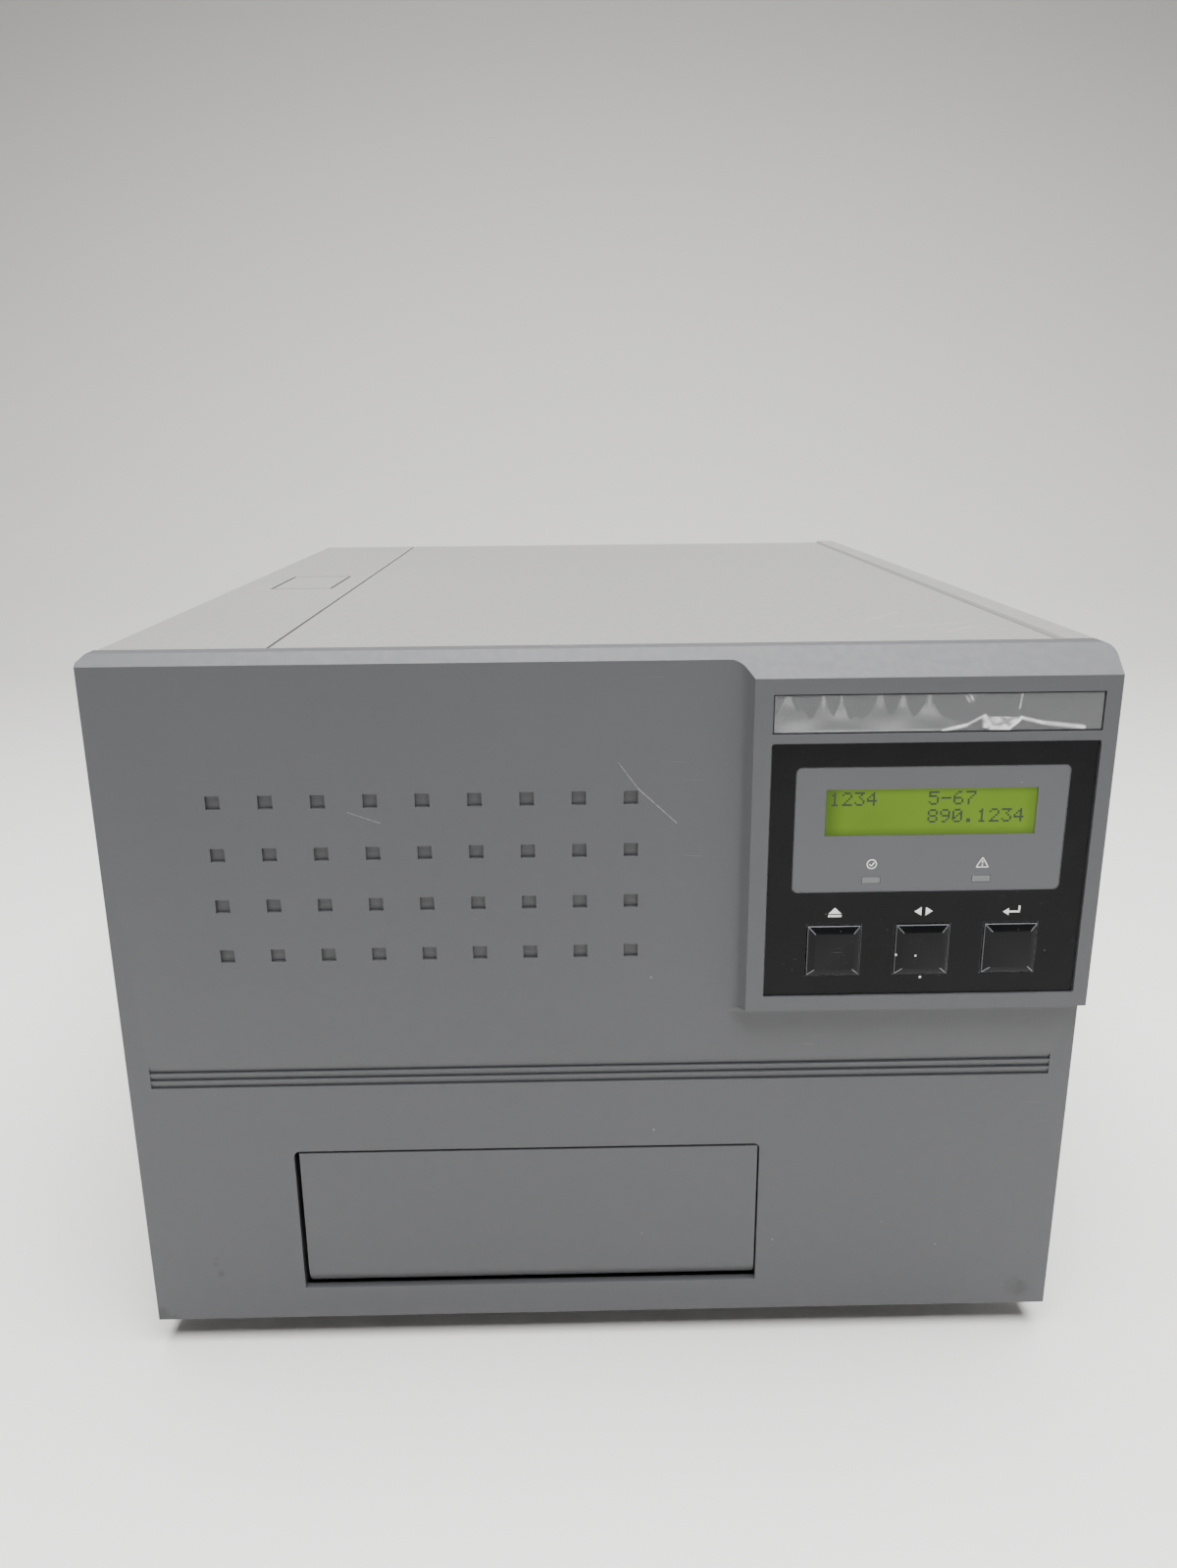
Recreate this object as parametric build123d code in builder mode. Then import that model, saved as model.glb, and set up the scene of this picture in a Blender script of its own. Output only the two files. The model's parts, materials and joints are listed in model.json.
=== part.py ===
from build123d import *

import os
from math import cos, pi, radians, sin, tan

# Disc label printer: a desktop box with a moulded front, a pod for the controls, a bottom-hinged
# flap that lets the disc tray out, and a side door that uncovers the ribbon and film cassettes.
# Row frame, millimetres: X to the right seen from the front, -Y towards the user, Z up from the
# table. Names that end in RISE, INSET, BACK or GAP are distances from the piece they belong to.

# ---- casing ----
BODY_WIDTH = 280.0
BODY_HEIGHT = 211.0
BODY_DEPTH = 346.5
FOOT_HEIGHT = 9.0
FOOT_RADIUS = 10.0
FOOT_INSET_X = 27.0
FOOT_INSET_Y = 36.0
CASE_WALL = 2.5
SHEET = 1.5
COVER_GAP = 0.5
PANEL_DROP = 0.8
FIT = 0.05

# ---- front bezel ----
BEZEL_DEPTH = 9.5
BEZEL_TOP_WALL = 3.2
CHAMFER_DEPTH = 3.4
CHAMFER_HEIGHT = 3.0
BEZEL_LEFT_CUT = 2.0
BEZEL_RIGHT_RADIUS = 3.0
POD_WIDTH = 98.7
POD_DEPTH = 5.0
POD_WALL = 3.5
POD_BOTTOM = 106.4
POD_SIDE_ANGLE = 55.0
POD_COVE = 5.5
POD_UNDER_COVE = 3.5
POD_HOLLOW_INSET = 3.0

# ---- decorative recesses of the bezel ----
GRID_COLUMNS = 9
GRID_ROWS = 4
GRID_SQUARE = 4.0
GRID_DEPTH = 1.2
GRID_PITCH_X = 14.43
GRID_PITCH_Z = 15.3
GRID_LEFT = 33.0
GRID_BOTTOM = 123.8
GROOVE_COUNT = 3
GROOVE_PITCH = 2.45
GROOVE_DEPTH = 0.9
GROOVE_BOTTOM = 81.5
GROOVE_LEFT = 6.6
GROOVE_LENGTH = 266.9

# ---- name plate, control panel, window, lamps and buttons ----
PLATE_WIDTH = 89.4
PLATE_HEIGHT = 10.9
PLATE_RECESS = 1.2
PLATE_THICKNESS = 0.8
PLATE_GAP = 2.6
SEAT_CLEARANCE = 0.25
PANEL_WIDTH = 89.7
PANEL_HEIGHT = 75.1
PANEL_RECESS = 2.5
PANEL_THICKNESS = 1.6
PANEL_CORNER = 0.8
PANEL_INSET = 4.2
PANEL_SHIFT = 0.4
PANEL_LEDGE = 3.0
WINDOW_WIDTH = 75.2
WINDOW_HEIGHT = 36.2
WINDOW_RISE = 31.8
WINDOW_THICKNESS = 0.9
WINDOW_CORNER = 1.5
LCD_WIDTH = 58.4
LCD_HEIGHT = 13.4
LCD_RISE = 16.5
LCD_RECESS = 0.7
LCD_GLASS = 2.2
LCD_FRAME_MARGIN = 5.5
LAMP_WIDTH = 5.2
LAMP_HEIGHT = 2.0
LAMP_RISE = 3.4
LAMP_PITCH = 31.05
BUTTON_HOLE = 15.6
BUTTON_CLEARANCE = 0.3
BUTTON_PITCH = 25.15
BUTTON_RISE = 14.1
BUTTON_BEVEL = 2.0
BUTTON_BEVEL_DEPTH = 1.0
BUTTON_FLANGE = 1.0
BUTTON_FLANGE_RIM = 1.0
BUTTON_STEM = 2.0
BUTTON_TRAVEL = 1.2
CAP_PROUD = 0.5
BOARD = 1.6
KEY_BOARD_BACK = 7.0
SWITCH_SIZE = 6.0
SWITCH_HEIGHT = 3.5
SWITCH_PLUNGER = 1.75
BOSS_RADIUS = 2.0

# ---- flap ----
OPENING_LEFT = 46.8
OPENING_BOTTOM = 10.7
OPENING_HEIGHT = 48.8
OPENING_CORNER = 1.8
REVEAL_WALL = 2.0
REVEAL_DEPTH = 14.0
FLAP_GAP_LEFT = 1.6
FLAP_GAP_RIGHT = 0.6
FLAP_GAP_TOP = 0.7
FLAP_WALL = 2.5
FLAP_HINGE_BACK = 8.8
FLAP_HINGE_RISE = 7.5
FLAP_CURL = 53.0
FLAP_EAR = 2.0
FLAP_EAR_RADIUS = 4.5
FLAP_EAR_HEIGHT = 12.0
FLAP_PIN_RADIUS = 1.5

# ---- disc tray and its drive ----
TRAY_WIDTH = 137.5
TRAY_SIDE_GAP = 1.675
TRAY_LENGTH = 220.0
TRAY_THICKNESS = 7.0
TRAY_RISE = 49.5
TRAY_BACK = 68.8
TRAY_LIP = 8.0
RUNNER_WIDTH = 2.5
RUNNER_HEIGHT = 2.0
RUNNER_GAP = 0.3
DISC_RADIUS = 60.5
DISC_RECESS = 2.5
SMALL_DISC_RADIUS = 40.3
SMALL_DISC_RECESS = 1.0
HUB_RADIUS = 7.3
HUB_HEIGHT = 1.5
FINGER_SLOT = 11.0
TRAY_WINDOW_WIDTH = 30.0
TRAY_WINDOW_LENGTH = 26.0
RAIL_HEIGHT = 9.0
RAIL_FRONT = 16.0
RAIL_REAR_GAP = 30.0
RAIL_LIP_GAP = 0.45
GEAR_MODULE = 1.0
DRIVE_TEETH = 20
MOTOR_TEETH = 12
ADDENDUM = 1.0
DEDENDUM = 1.2
TOOTH_TIP = 0.6
TOOTH_ROOT = 1.9
GEAR_WIDTH = 6.0
GEAR_SHIFT = 50.775
RACK_BODY = 2.0
PINION_SET_BACK = 22.5
RACK_TEETH = 64
GEAR_AXLE_RADIUS = 2.0
MOTOR_SHAFT_RADIUS = 1.5
MOTOR_RADIUS = 14.0
MOTOR_LENGTH = 28.0

# ---- frames and base ----
FRAME_SIDE_GAP = 5.5
FRAME_FRONT = 16.0
FRAME_REAR_GAP = 4.5
FRAME_HEIGHT = 203.0
PAN_LEFT = 12.0
PAN_RIM = 14.0
REAR_RECESS = 4.5
TOP_RAIL_WIDTH = 20.0
REAR_PANEL_HEIGHT = 205.5

# ---- covers ----
STRIP_WIDTH = 48.0
DOOR_RADIUS = 1.5
DOOR_HINGE_X = 7.0
DOOR_HINGE_Z = 5.0
DOOR_LUG_RADIUS = 4.0
DOOR_PIN_RADIUS = 2.0
DOOR_PIN_LENGTH = 30.0
DOOR_LUG_LENGTH = 10.0
DOOR_HINGE_INSETS = (55.0, 51.5)
BORDER_WIDTH = 11.2
BORDER_RADIUS = 3.0
BORDER_COVE = 0.7
VENT_COUNT = 9
VENT_PITCH = 8.0
VENT_WIDTH = 3.0
VENT_HEIGHT = 34.0

# ---- door latch ----
LATCH_LEFT = 15.2
LATCH_BACK = 154.5
LATCH_WIDTH = 24.2
LATCH_LENGTH = 44.5
LATCH_CLEARANCE = 0.6
LATCH_TRAVEL = 2.5
LATCH_CUP_DEPTH = 14.0
LATCH_CUP_WALL = 1.5
LATCH_SPRING_RADIUS = 5.0
LATCH_SPRING_WIRE = 1.0
LATCH_SPRING_TURNS = 5
LATCH_HOOK_LENGTH = 12.0
LATCH_HOOK_REACH = 3.0
LATCH_HOOK_WALL = 2.0
STRIKE_GAP = 1.0

# ---- printing mechanism ----
HEAT_ROLLER_RADIUS = 12.0
HEAT_ROLLER_BACK = 45.0
ROLLER_DISC_GAP = 1.0
PLATEN_RADIUS = 8.0
PLATEN_BACK = 176.0
PLATEN_RISE = 106.0
ROLLER_SHAFT_RADIUS = 3.0
ROLLER_MARGIN = 9.0
HEAD_GAP = 0.4
HEAD_THICKNESS = 6.0
HEAD_HEIGHT = 16.0
HEAD_FIN_DEPTH = 4.0
HEAD_FIN_WIDTH = 1.6
HEAD_FIN_COUNT = 14
HEAD_FIN_PITCH = 8.4
HEAD_PIVOT_BACK = 197.0
HEAD_PIVOT_RISE = 78.0
HEAD_ARM_WIDTH = 4.0
HEAD_ARM_DEPTH = 8.0
FILM_WINDOW_FRONT = 22.0
FILM_WINDOW_BACK = 162.0
WINDOW_LOW = 94.0
WINDOW_HIGH = 197.0
RIBBON_WINDOW_FRONT = 200.0
RIBBON_WINDOW_REAR = 6.0
CASSETTE_MARGIN = 3.0
CASSETTE_WALL = 2.5
CASSETTE_GAP = 2.5
CASSETTE_BAR_RADIUS = 4.0
CASSETTE_BAR_INSET = 8.0
GRIP_LENGTH = 30.0
GRIP_HEIGHT = 14.0
SPOOL_CORE_RADIUS = 9.0
SPOOL_FLANGE_GAP = 1.5
SPOOL_FLANGE = 1.5
SPOOL_STUB_RADIUS = 4.0
SPOOL_RISE = 146.0
FILM_SUPPLY_RADIUS = 27.0
FILM_SUPPLY_INSET = 40.0
FILM_TAKEUP_RADIUS = 14.0
FILM_TAKEUP_INSET = 38.0
RIBBON_SUPPLY_RADIUS = 25.0
RIBBON_SUPPLY_INSET = 32.0
RIBBON_TAKEUP_RADIUS = 13.0
RIBBON_TAKEUP_INSET = 21.0

# ---- electronics and rear ----
MAIN_BOARD_BACKS = (40.0, 200.0)
MAIN_BOARD_RISES = (70.0, 190.0)
STANDOFF = 8.0
CONNECTOR_COUNT = 4
CAPACITOR_COUNT = 5
SUPPLY_SIDE_GAP = 12.0
SUPPLY_REAR_GAP = 20.5
SUPPLY_LENGTH = 105.0
SUPPLY_HEIGHT = 66.0
FAN_SIDE_GAP = 12.0
FAN_DEPTH = 20.0
FAN_RISE = 145.0
FAN_HUB_RADIUS = 11.0
FAN_BLADES = 7
FAN_BLADE_GAP = 1.5
FAN_BLADE_ANGLE = 37.0
FAN_SLOTS = 7
FAN_SLOT_HEIGHT = 15.0
INLET_PITCH = 28.0
INLET_RISE = 30.0
INLET_WIDTH = 27.0
INLET_HEIGHT = 20.0
INLET_DEPTH = 18.0
FLANGE_RIM = 4.0
FLANGE = 2.0
BLADE_WIDTH = 2.0
BLADE_HEIGHT = 4.0
BLADE_SPREAD = 7.0
BLADE_STEP = 2.0
SWITCH_SIDE_GAP = 11.0
SWITCH_WIDTH = 13.0
SWITCH_TALL = 20.0
SWITCH_DEPTH = 16.0
SWITCH_RIM = 1.5
ROCKER_TRAVEL_RADIUS = 3.0
PORT_X = 110.0
PORT_RISE = 60.0
PORT_WIDTH = 32.0
PORT_HEIGHT = 11.0
PORT_DEPTH = 14.0
SCREW_RADIUS = 1.5
SCREW_HEAD_RADIUS = 3.0
SCREW_HEAD = 1.8
SCREW_INSET = 10.0

# ---- places that follow from the sizes above ----
left = -BODY_WIDTH / 2
right = BODY_WIDTH / 2
overall_depth = BODY_DEPTH + POD_DEPTH + CAP_PROUD
face_y = POD_DEPTH + CAP_PROUD - overall_depth / 2
pod_y = face_y - POD_DEPTH
rear_y = face_y + BODY_DEPTH
base_z = FOOT_HEIGHT
top_z = base_z + BODY_HEIGHT
panel_z = top_z - PANEL_DROP
cover_front = face_y + BEZEL_DEPTH + COVER_GAP
rear_panel_y = rear_y - REAR_RECESS - SHEET
pan_z = base_z + SHEET
tray_x = left + OPENING_LEFT + TRAY_WIDTH / 2 + TRAY_SIDE_GAP
frame_left_x = tray_x - TRAY_WIDTH / 2 - FRAME_SIDE_GAP - SHEET
frame_right_x = tray_x + TRAY_WIDTH / 2 + FRAME_SIDE_GAP
frame_front = face_y + FRAME_FRONT
frame_back = rear_panel_y - FRAME_REAR_GAP
bay_left = frame_right_x + SHEET
bay_right = right - CASE_WALL
hinge_backs = (DOOR_HINGE_INSETS[0], BODY_DEPTH - DOOR_HINGE_INSETS[1])

os.makedirs("parts", exist_ok=True)


def block(low, high, mode=Mode.ADD):
    """Add or cut the box between two opposite corners."""
    with BuildSketch(Plane.XY.offset(low[2])) as footprint:
        with Locations(((low[0] + high[0]) / 2, (low[1] + high[1]) / 2)):
            Rectangle(high[0] - low[0], high[1] - low[1])
    extrude(footprint.sketch, amount=high[2] - low[2], mode=mode)


def rod(start, direction, radius, length, mode=Mode.ADD):
    """Add or cut a round bar that starts at a point and runs along a direction."""
    with BuildSketch(Plane(origin=start, z_dir=direction)) as end:
        Circle(radius)
    extrude(end.sketch, amount=length, mode=mode)


def tooth(pitch_radius):
    """Points of one straight-sided tooth that points along +X from the gear's centre."""
    root = pitch_radius - DEDENDUM
    tip = pitch_radius + ADDENDUM
    return (
        (root - ADDENDUM / 2, -TOOTH_ROOT / 2),
        (root, -TOOTH_ROOT / 2),
        (tip, -TOOTH_TIP / 2),
        (tip, TOOTH_TIP / 2),
        (root, TOOTH_ROOT / 2),
        (root - ADDENDUM / 2, TOOTH_ROOT / 2),
    )


def spur_gear(x, y, z, teeth, first_angle, width):
    """Add a spur gear about an axis along X, with a tooth at the given angle from +Y."""
    pitch_radius = GEAR_MODULE * teeth / 2
    with BuildSketch(Plane.YZ.offset(x)) as outline:
        with Locations((y, z)):
            Circle(pitch_radius - DEDENDUM)
            with PolarLocations(0, teeth, start_angle=first_angle):
                Polygon(*tooth(pitch_radius), align=None)
    extrude(outline.sketch, amount=width)


# ---- front bezel ----
chamfer_slope = CHAMFER_HEIGHT / CHAMFER_DEPTH
pod_left = right - POD_WIDTH
pod_bottom = base_z + POD_BOTTOM
pod_root = pod_left - POD_DEPTH / tan(radians(POD_SIDE_ANGLE))
pod_x = (pod_left + right) / 2
panel_x = pod_x + PANEL_SHIFT
panel_bottom = pod_bottom + PANEL_INSET
panel_top = panel_bottom + PANEL_HEIGHT
plate_bottom = panel_top + PLATE_GAP
panel_back_y = pod_y + PANEL_RECESS
pod_wall_y = pod_y + POD_WALL
opening_left = left + OPENING_LEFT
opening_width = TRAY_WIDTH + 2 * TRAY_SIDE_GAP
opening_right = opening_left + opening_width
opening_bottom = base_z + OPENING_BOTTOM
opening_top = opening_bottom + OPENING_HEIGHT
flap_axis_y = face_y + FLAP_HINGE_BACK
flap_axis_z = opening_bottom + FLAP_HINGE_RISE
reveal_back = face_y + REVEAL_DEPTH
button_z = panel_bottom + BUTTON_RISE
window_bottom = panel_bottom + WINDOW_RISE
lamp_z = window_bottom + LAMP_RISE
lcd_bottom = window_bottom + LCD_RISE
lcd_z = lcd_bottom + LCD_HEIGHT / 2
key_board_y = face_y + KEY_BOARD_BACK
button_xs = [panel_x + step * BUTTON_PITCH for step in (-1, 0, 1)]
lamp_xs = [panel_x + step * LAMP_PITCH / 2 for step in (-1, 1)]
key_board_top = lamp_z + LAMP_HEIGHT + BOSS_RADIUS
lcd_board_bottom = key_board_top + COVER_GAP
lcd_board_top = 2 * lcd_z - lcd_board_bottom
board_half_width = PANEL_WIDTH / 2 - PANEL_LEDGE

with BuildPart() as front_bezel:
    # The pod is the overlap of its plan, with a cove on the left, and its side view, with a cove below.
    with BuildSketch(Plane.XY.offset(pod_bottom - POD_DEPTH)) as pod_plan:
        with BuildLine():
            Polyline(
                (pod_root - 2 * POD_COVE, face_y + CASE_WALL),
                (pod_root - 2 * POD_COVE, face_y),
                (pod_root, face_y),
                (pod_left, pod_y),
                (right, pod_y),
                (right, face_y + CASE_WALL),
                close=True,
            )
        make_face()
        fillet(pod_plan.vertices().sort_by_distance((pod_root, face_y))[0], POD_COVE)
    extrude(amount=top_z - pod_bottom + POD_DEPTH)
    with BuildSketch(Plane.YZ.offset(left)) as pod_side:
        with BuildLine():
            Polyline(
                (face_y + CASE_WALL, pod_bottom - POD_DEPTH),
                (face_y, pod_bottom - POD_DEPTH),
                (face_y, pod_bottom),
                (pod_y, pod_bottom),
                (pod_y, top_z),
                (face_y + CASE_WALL, top_z),
                close=True,
            )
        make_face()
        fillet(pod_side.vertices().sort_by_distance((face_y, pod_bottom))[0], POD_UNDER_COVE)
    extrude(amount=BODY_WIDTH, mode=Mode.INTERSECT)
    block((left, face_y, base_z), (right, face_y + BEZEL_DEPTH, top_z))
    # One sloping cut chamfers the top of the face and of the pod in the same plane.
    with BuildSketch(Plane.YZ.offset(left)):
        with BuildLine():
            Polyline(
                (pod_y, top_z - CHAMFER_HEIGHT - POD_DEPTH * chamfer_slope),
                (face_y + CHAMFER_DEPTH, top_z),
                (pod_y, top_z),
                close=True,
            )
        make_face()
    extrude(amount=BODY_WIDTH, mode=Mode.SUBTRACT)
    chamfer(
        front_bezel.edges().filter_by(Axis.Y).group_by(Axis.Z)[-1].sort_by(Axis.X)[0], BEZEL_LEFT_CUT
    )
    fillet(
        front_bezel.edges().filter_by(Axis.Y).group_by(Axis.Z)[-1].sort_by(Axis.X)[-1], BEZEL_RIGHT_RADIUS
    )
    # Hollow back, and the hollow of the pod.
    block(
        (left + CASE_WALL, face_y + CASE_WALL, base_z + CASE_WALL),
        (right - CASE_WALL, face_y + BEZEL_DEPTH, top_z - BEZEL_TOP_WALL),
        mode=Mode.SUBTRACT,
    )
    block(
        (pod_left + POD_HOLLOW_INSET, pod_wall_y, pod_bottom + POD_HOLLOW_INSET),
        (right - CASE_WALL, face_y + CASE_WALL, plate_bottom + PLATE_HEIGHT + PLATE_GAP),
        mode=Mode.SUBTRACT,
    )
    # Seats of the control panel and of the name plate.
    with BuildSketch(Plane.XZ.offset(-pod_y)):
        with Locations((panel_x, panel_bottom + PANEL_HEIGHT / 2)):
            RectangleRounded(PANEL_WIDTH, PANEL_HEIGHT, PANEL_CORNER)
    extrude(amount=-PANEL_RECESS, mode=Mode.SUBTRACT)
    block(
        (panel_x - PANEL_WIDTH / 2 + PANEL_LEDGE, pod_y, panel_bottom + PANEL_LEDGE),
        (panel_x + PANEL_WIDTH / 2 - PANEL_LEDGE, face_y, panel_top - PANEL_LEDGE),
        mode=Mode.SUBTRACT,
    )
    block(
        (panel_x - PLATE_WIDTH / 2, pod_y, plate_bottom),
        (panel_x + PLATE_WIDTH / 2, pod_y + PLATE_RECESS, plate_bottom + PLATE_HEIGHT),
        mode=Mode.SUBTRACT,
    )
    # Opening of the flap, rounded above and square below.
    with BuildSketch(Plane.XZ.offset(-face_y)) as mouth:
        with Locations((opening_left + opening_width / 2, opening_bottom + OPENING_HEIGHT / 2)):
            Rectangle(opening_width, OPENING_HEIGHT)
        fillet(mouth.vertices().group_by(Axis.Y)[-1], OPENING_CORNER)
    extrude(amount=-CASE_WALL, mode=Mode.SUBTRACT)
    # Reveal walls beside and above the opening, bored for the flap's pins.
    for wall_left in (opening_left - REVEAL_WALL, opening_right):
        block(
            (wall_left, face_y + CASE_WALL, base_z + CASE_WALL),
            (wall_left + REVEAL_WALL, reveal_back, opening_top + REVEAL_WALL),
        )
    block(
        (opening_left, face_y + CASE_WALL, opening_top),
        (opening_right, reveal_back, opening_top + REVEAL_WALL),
    )
    rod(
        (opening_left - REVEAL_WALL, flap_axis_y, flap_axis_z),
        (1, 0, 0),
        FLAP_PIN_RADIUS + FIT,
        opening_width + 2 * REVEAL_WALL,
        mode=Mode.SUBTRACT,
    )
    # Blind squares in rows and columns.
    with BuildSketch(Plane.XZ.offset(-face_y)):
        with Locations(
            (
                left + GRID_LEFT + (GRID_COLUMNS - 1) * GRID_PITCH_X / 2,
                base_z + GRID_BOTTOM + (GRID_ROWS - 1) * GRID_PITCH_Z / 2,
            )
        ):
            with GridLocations(GRID_PITCH_X, GRID_PITCH_Z, GRID_COLUMNS, GRID_ROWS):
                Rectangle(GRID_SQUARE, GRID_SQUARE)
    extrude(amount=-GRID_DEPTH, mode=Mode.SUBTRACT)
    # Saw-tooth grooves: each slopes inwards and ends on a ledge that faces up.
    for groove in range(GROOVE_COUNT):
        ledge_z = base_z + GROOVE_BOTTOM + groove * GROOVE_PITCH
        with BuildSketch(Plane.YZ.offset(left + GROOVE_LEFT)):
            with BuildLine():
                Polyline(
                    (face_y, ledge_z + GROOVE_PITCH - FIT),
                    (face_y + GROOVE_DEPTH, ledge_z),
                    (face_y, ledge_z),
                    close=True,
                )
            make_face()
        extrude(amount=GROOVE_LENGTH, mode=Mode.SUBTRACT)
    # Bosses that carry the key board and the display board.
    for boss_x in (panel_x - board_half_width, panel_x + board_half_width):
        for boss_z in (
            panel_bottom + PANEL_LEDGE,
            key_board_top - BOSS_RADIUS,
            lcd_board_bottom + BOSS_RADIUS,
            lcd_board_top - BOSS_RADIUS,
        ):
            rod((boss_x, pod_wall_y, boss_z), (0, 1, 0), BOSS_RADIUS, key_board_y - pod_wall_y)
front_bezel.part.label = "front_bezel"
export_step(front_bezel.part, "parts/front_bezel.step")

with BuildPart() as name_plate:
    block(
        (
            panel_x - PLATE_WIDTH / 2 + SEAT_CLEARANCE,
            pod_y + PLATE_RECESS - PLATE_THICKNESS,
            plate_bottom + SEAT_CLEARANCE,
        ),
        (
            panel_x + PLATE_WIDTH / 2 - SEAT_CLEARANCE,
            pod_y + PLATE_RECESS,
            plate_bottom + PLATE_HEIGHT - SEAT_CLEARANCE,
        ),
    )
name_plate.part.label = "name_plate"
export_step(name_plate.part, "parts/name_plate.step")

# ---- control panel, window, lamps, display ----
panel_front_y = panel_back_y - PANEL_THICKNESS
lcd_front_y = panel_front_y + LCD_RECESS
lcd_frame_y = lcd_front_y + LCD_GLASS

with BuildPart() as control_panel:
    with BuildSketch(Plane.XZ.offset(-panel_back_y)):
        with Locations((panel_x, panel_bottom + PANEL_HEIGHT / 2)):
            RectangleRounded(
                PANEL_WIDTH - 2 * SEAT_CLEARANCE, PANEL_HEIGHT - 2 * SEAT_CLEARANCE, PANEL_CORNER
            )
        with Locations(*((x, button_z) for x in button_xs)):
            Rectangle(BUTTON_HOLE, BUTTON_HOLE, mode=Mode.SUBTRACT)
        with Locations((panel_x, lcd_z)):
            Rectangle(LCD_WIDTH, LCD_HEIGHT, mode=Mode.SUBTRACT)
        with Locations(*((x, lamp_z) for x in lamp_xs)):
            Rectangle(LAMP_WIDTH, LAMP_HEIGHT, mode=Mode.SUBTRACT)
    extrude(amount=PANEL_THICKNESS)
    with BuildSketch(Plane.XZ.offset(-panel_front_y)):
        with Locations((panel_x, window_bottom + WINDOW_HEIGHT / 2)):
            RectangleRounded(WINDOW_WIDTH, WINDOW_HEIGHT, WINDOW_CORNER)
    extrude(amount=-WINDOW_THICKNESS, mode=Mode.SUBTRACT)
control_panel.part.label = "control_panel"
export_step(control_panel.part, "parts/control_panel.step")

with BuildPart() as display_window:
    with BuildSketch(Plane.XZ.offset(-panel_front_y - FIT)):
        with Locations((panel_x, window_bottom + WINDOW_HEIGHT / 2)):
            RectangleRounded(WINDOW_WIDTH - 2 * FIT, WINDOW_HEIGHT - 2 * FIT, WINDOW_CORNER)
        with Locations((panel_x, lcd_z)):
            Rectangle(LCD_WIDTH, LCD_HEIGHT, mode=Mode.SUBTRACT)
        with Locations(*((x, lamp_z) for x in lamp_xs)):
            Rectangle(LAMP_WIDTH, LAMP_HEIGHT, mode=Mode.SUBTRACT)
    extrude(amount=-(WINDOW_THICKNESS - FIT))
display_window.part.label = "display_window"
export_step(display_window.part, "parts/display_window.step")

for lamp_name, lamp_x in zip(("ready_lamp", "fault_lamp"), lamp_xs):
    with BuildPart() as lamp:
        block(
            (lamp_x - LAMP_WIDTH / 2 + FIT, panel_front_y, lamp_z - LAMP_HEIGHT / 2 + FIT),
            (lamp_x + LAMP_WIDTH / 2 - FIT, key_board_y, lamp_z + LAMP_HEIGHT / 2 - FIT),
        )
    lamp.part.label = lamp_name
    export_step(lamp.part, f"parts/{lamp_name}.step")

with BuildPart() as lcd_screen:
    block(
        (panel_x - LCD_WIDTH / 2 + FIT, lcd_front_y, lcd_bottom + FIT),
        (panel_x + LCD_WIDTH / 2 - FIT, lcd_frame_y, lcd_bottom + LCD_HEIGHT - FIT),
    )
    block(
        (
            panel_x - LCD_WIDTH / 2 - LCD_FRAME_MARGIN,
            panel_back_y + FIT,
            lcd_bottom - LCD_FRAME_MARGIN,
        ),
        (
            panel_x + LCD_WIDTH / 2 + LCD_FRAME_MARGIN,
            key_board_y,
            lcd_bottom + LCD_HEIGHT + LCD_FRAME_MARGIN,
        ),
    )
lcd_screen.part.label = "lcd_screen"
export_step(lcd_screen.part, "parts/lcd_screen.step")

with BuildPart() as display_board:
    block(
        (panel_x - board_half_width - BOSS_RADIUS, key_board_y, lcd_board_bottom),
        (panel_x + board_half_width + BOSS_RADIUS, key_board_y + BOARD, lcd_board_top),
    )
display_board.part.label = "display_board"
export_step(display_board.part, "parts/display_board.step")

switch_front_y = key_board_y - SWITCH_HEIGHT
with BuildPart() as key_board:
    block(
        (panel_x - board_half_width - BOSS_RADIUS, key_board_y, panel_bottom + PANEL_LEDGE - BOSS_RADIUS),
        (panel_x + board_half_width + BOSS_RADIUS, key_board_y + BOARD, key_board_top),
    )
    for button_x in button_xs:
        block(
            (button_x - SWITCH_SIZE / 2, switch_front_y, button_z - SWITCH_SIZE / 2),
            (button_x + SWITCH_SIZE / 2, key_board_y, button_z + SWITCH_SIZE / 2),
        )
        rod((button_x, switch_front_y - COVER_GAP, button_z), (0, 1, 0), SWITCH_PLUNGER, COVER_GAP)
key_board.part.label = "key_board"
export_step(key_board.part, "parts/key_board.step")

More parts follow.
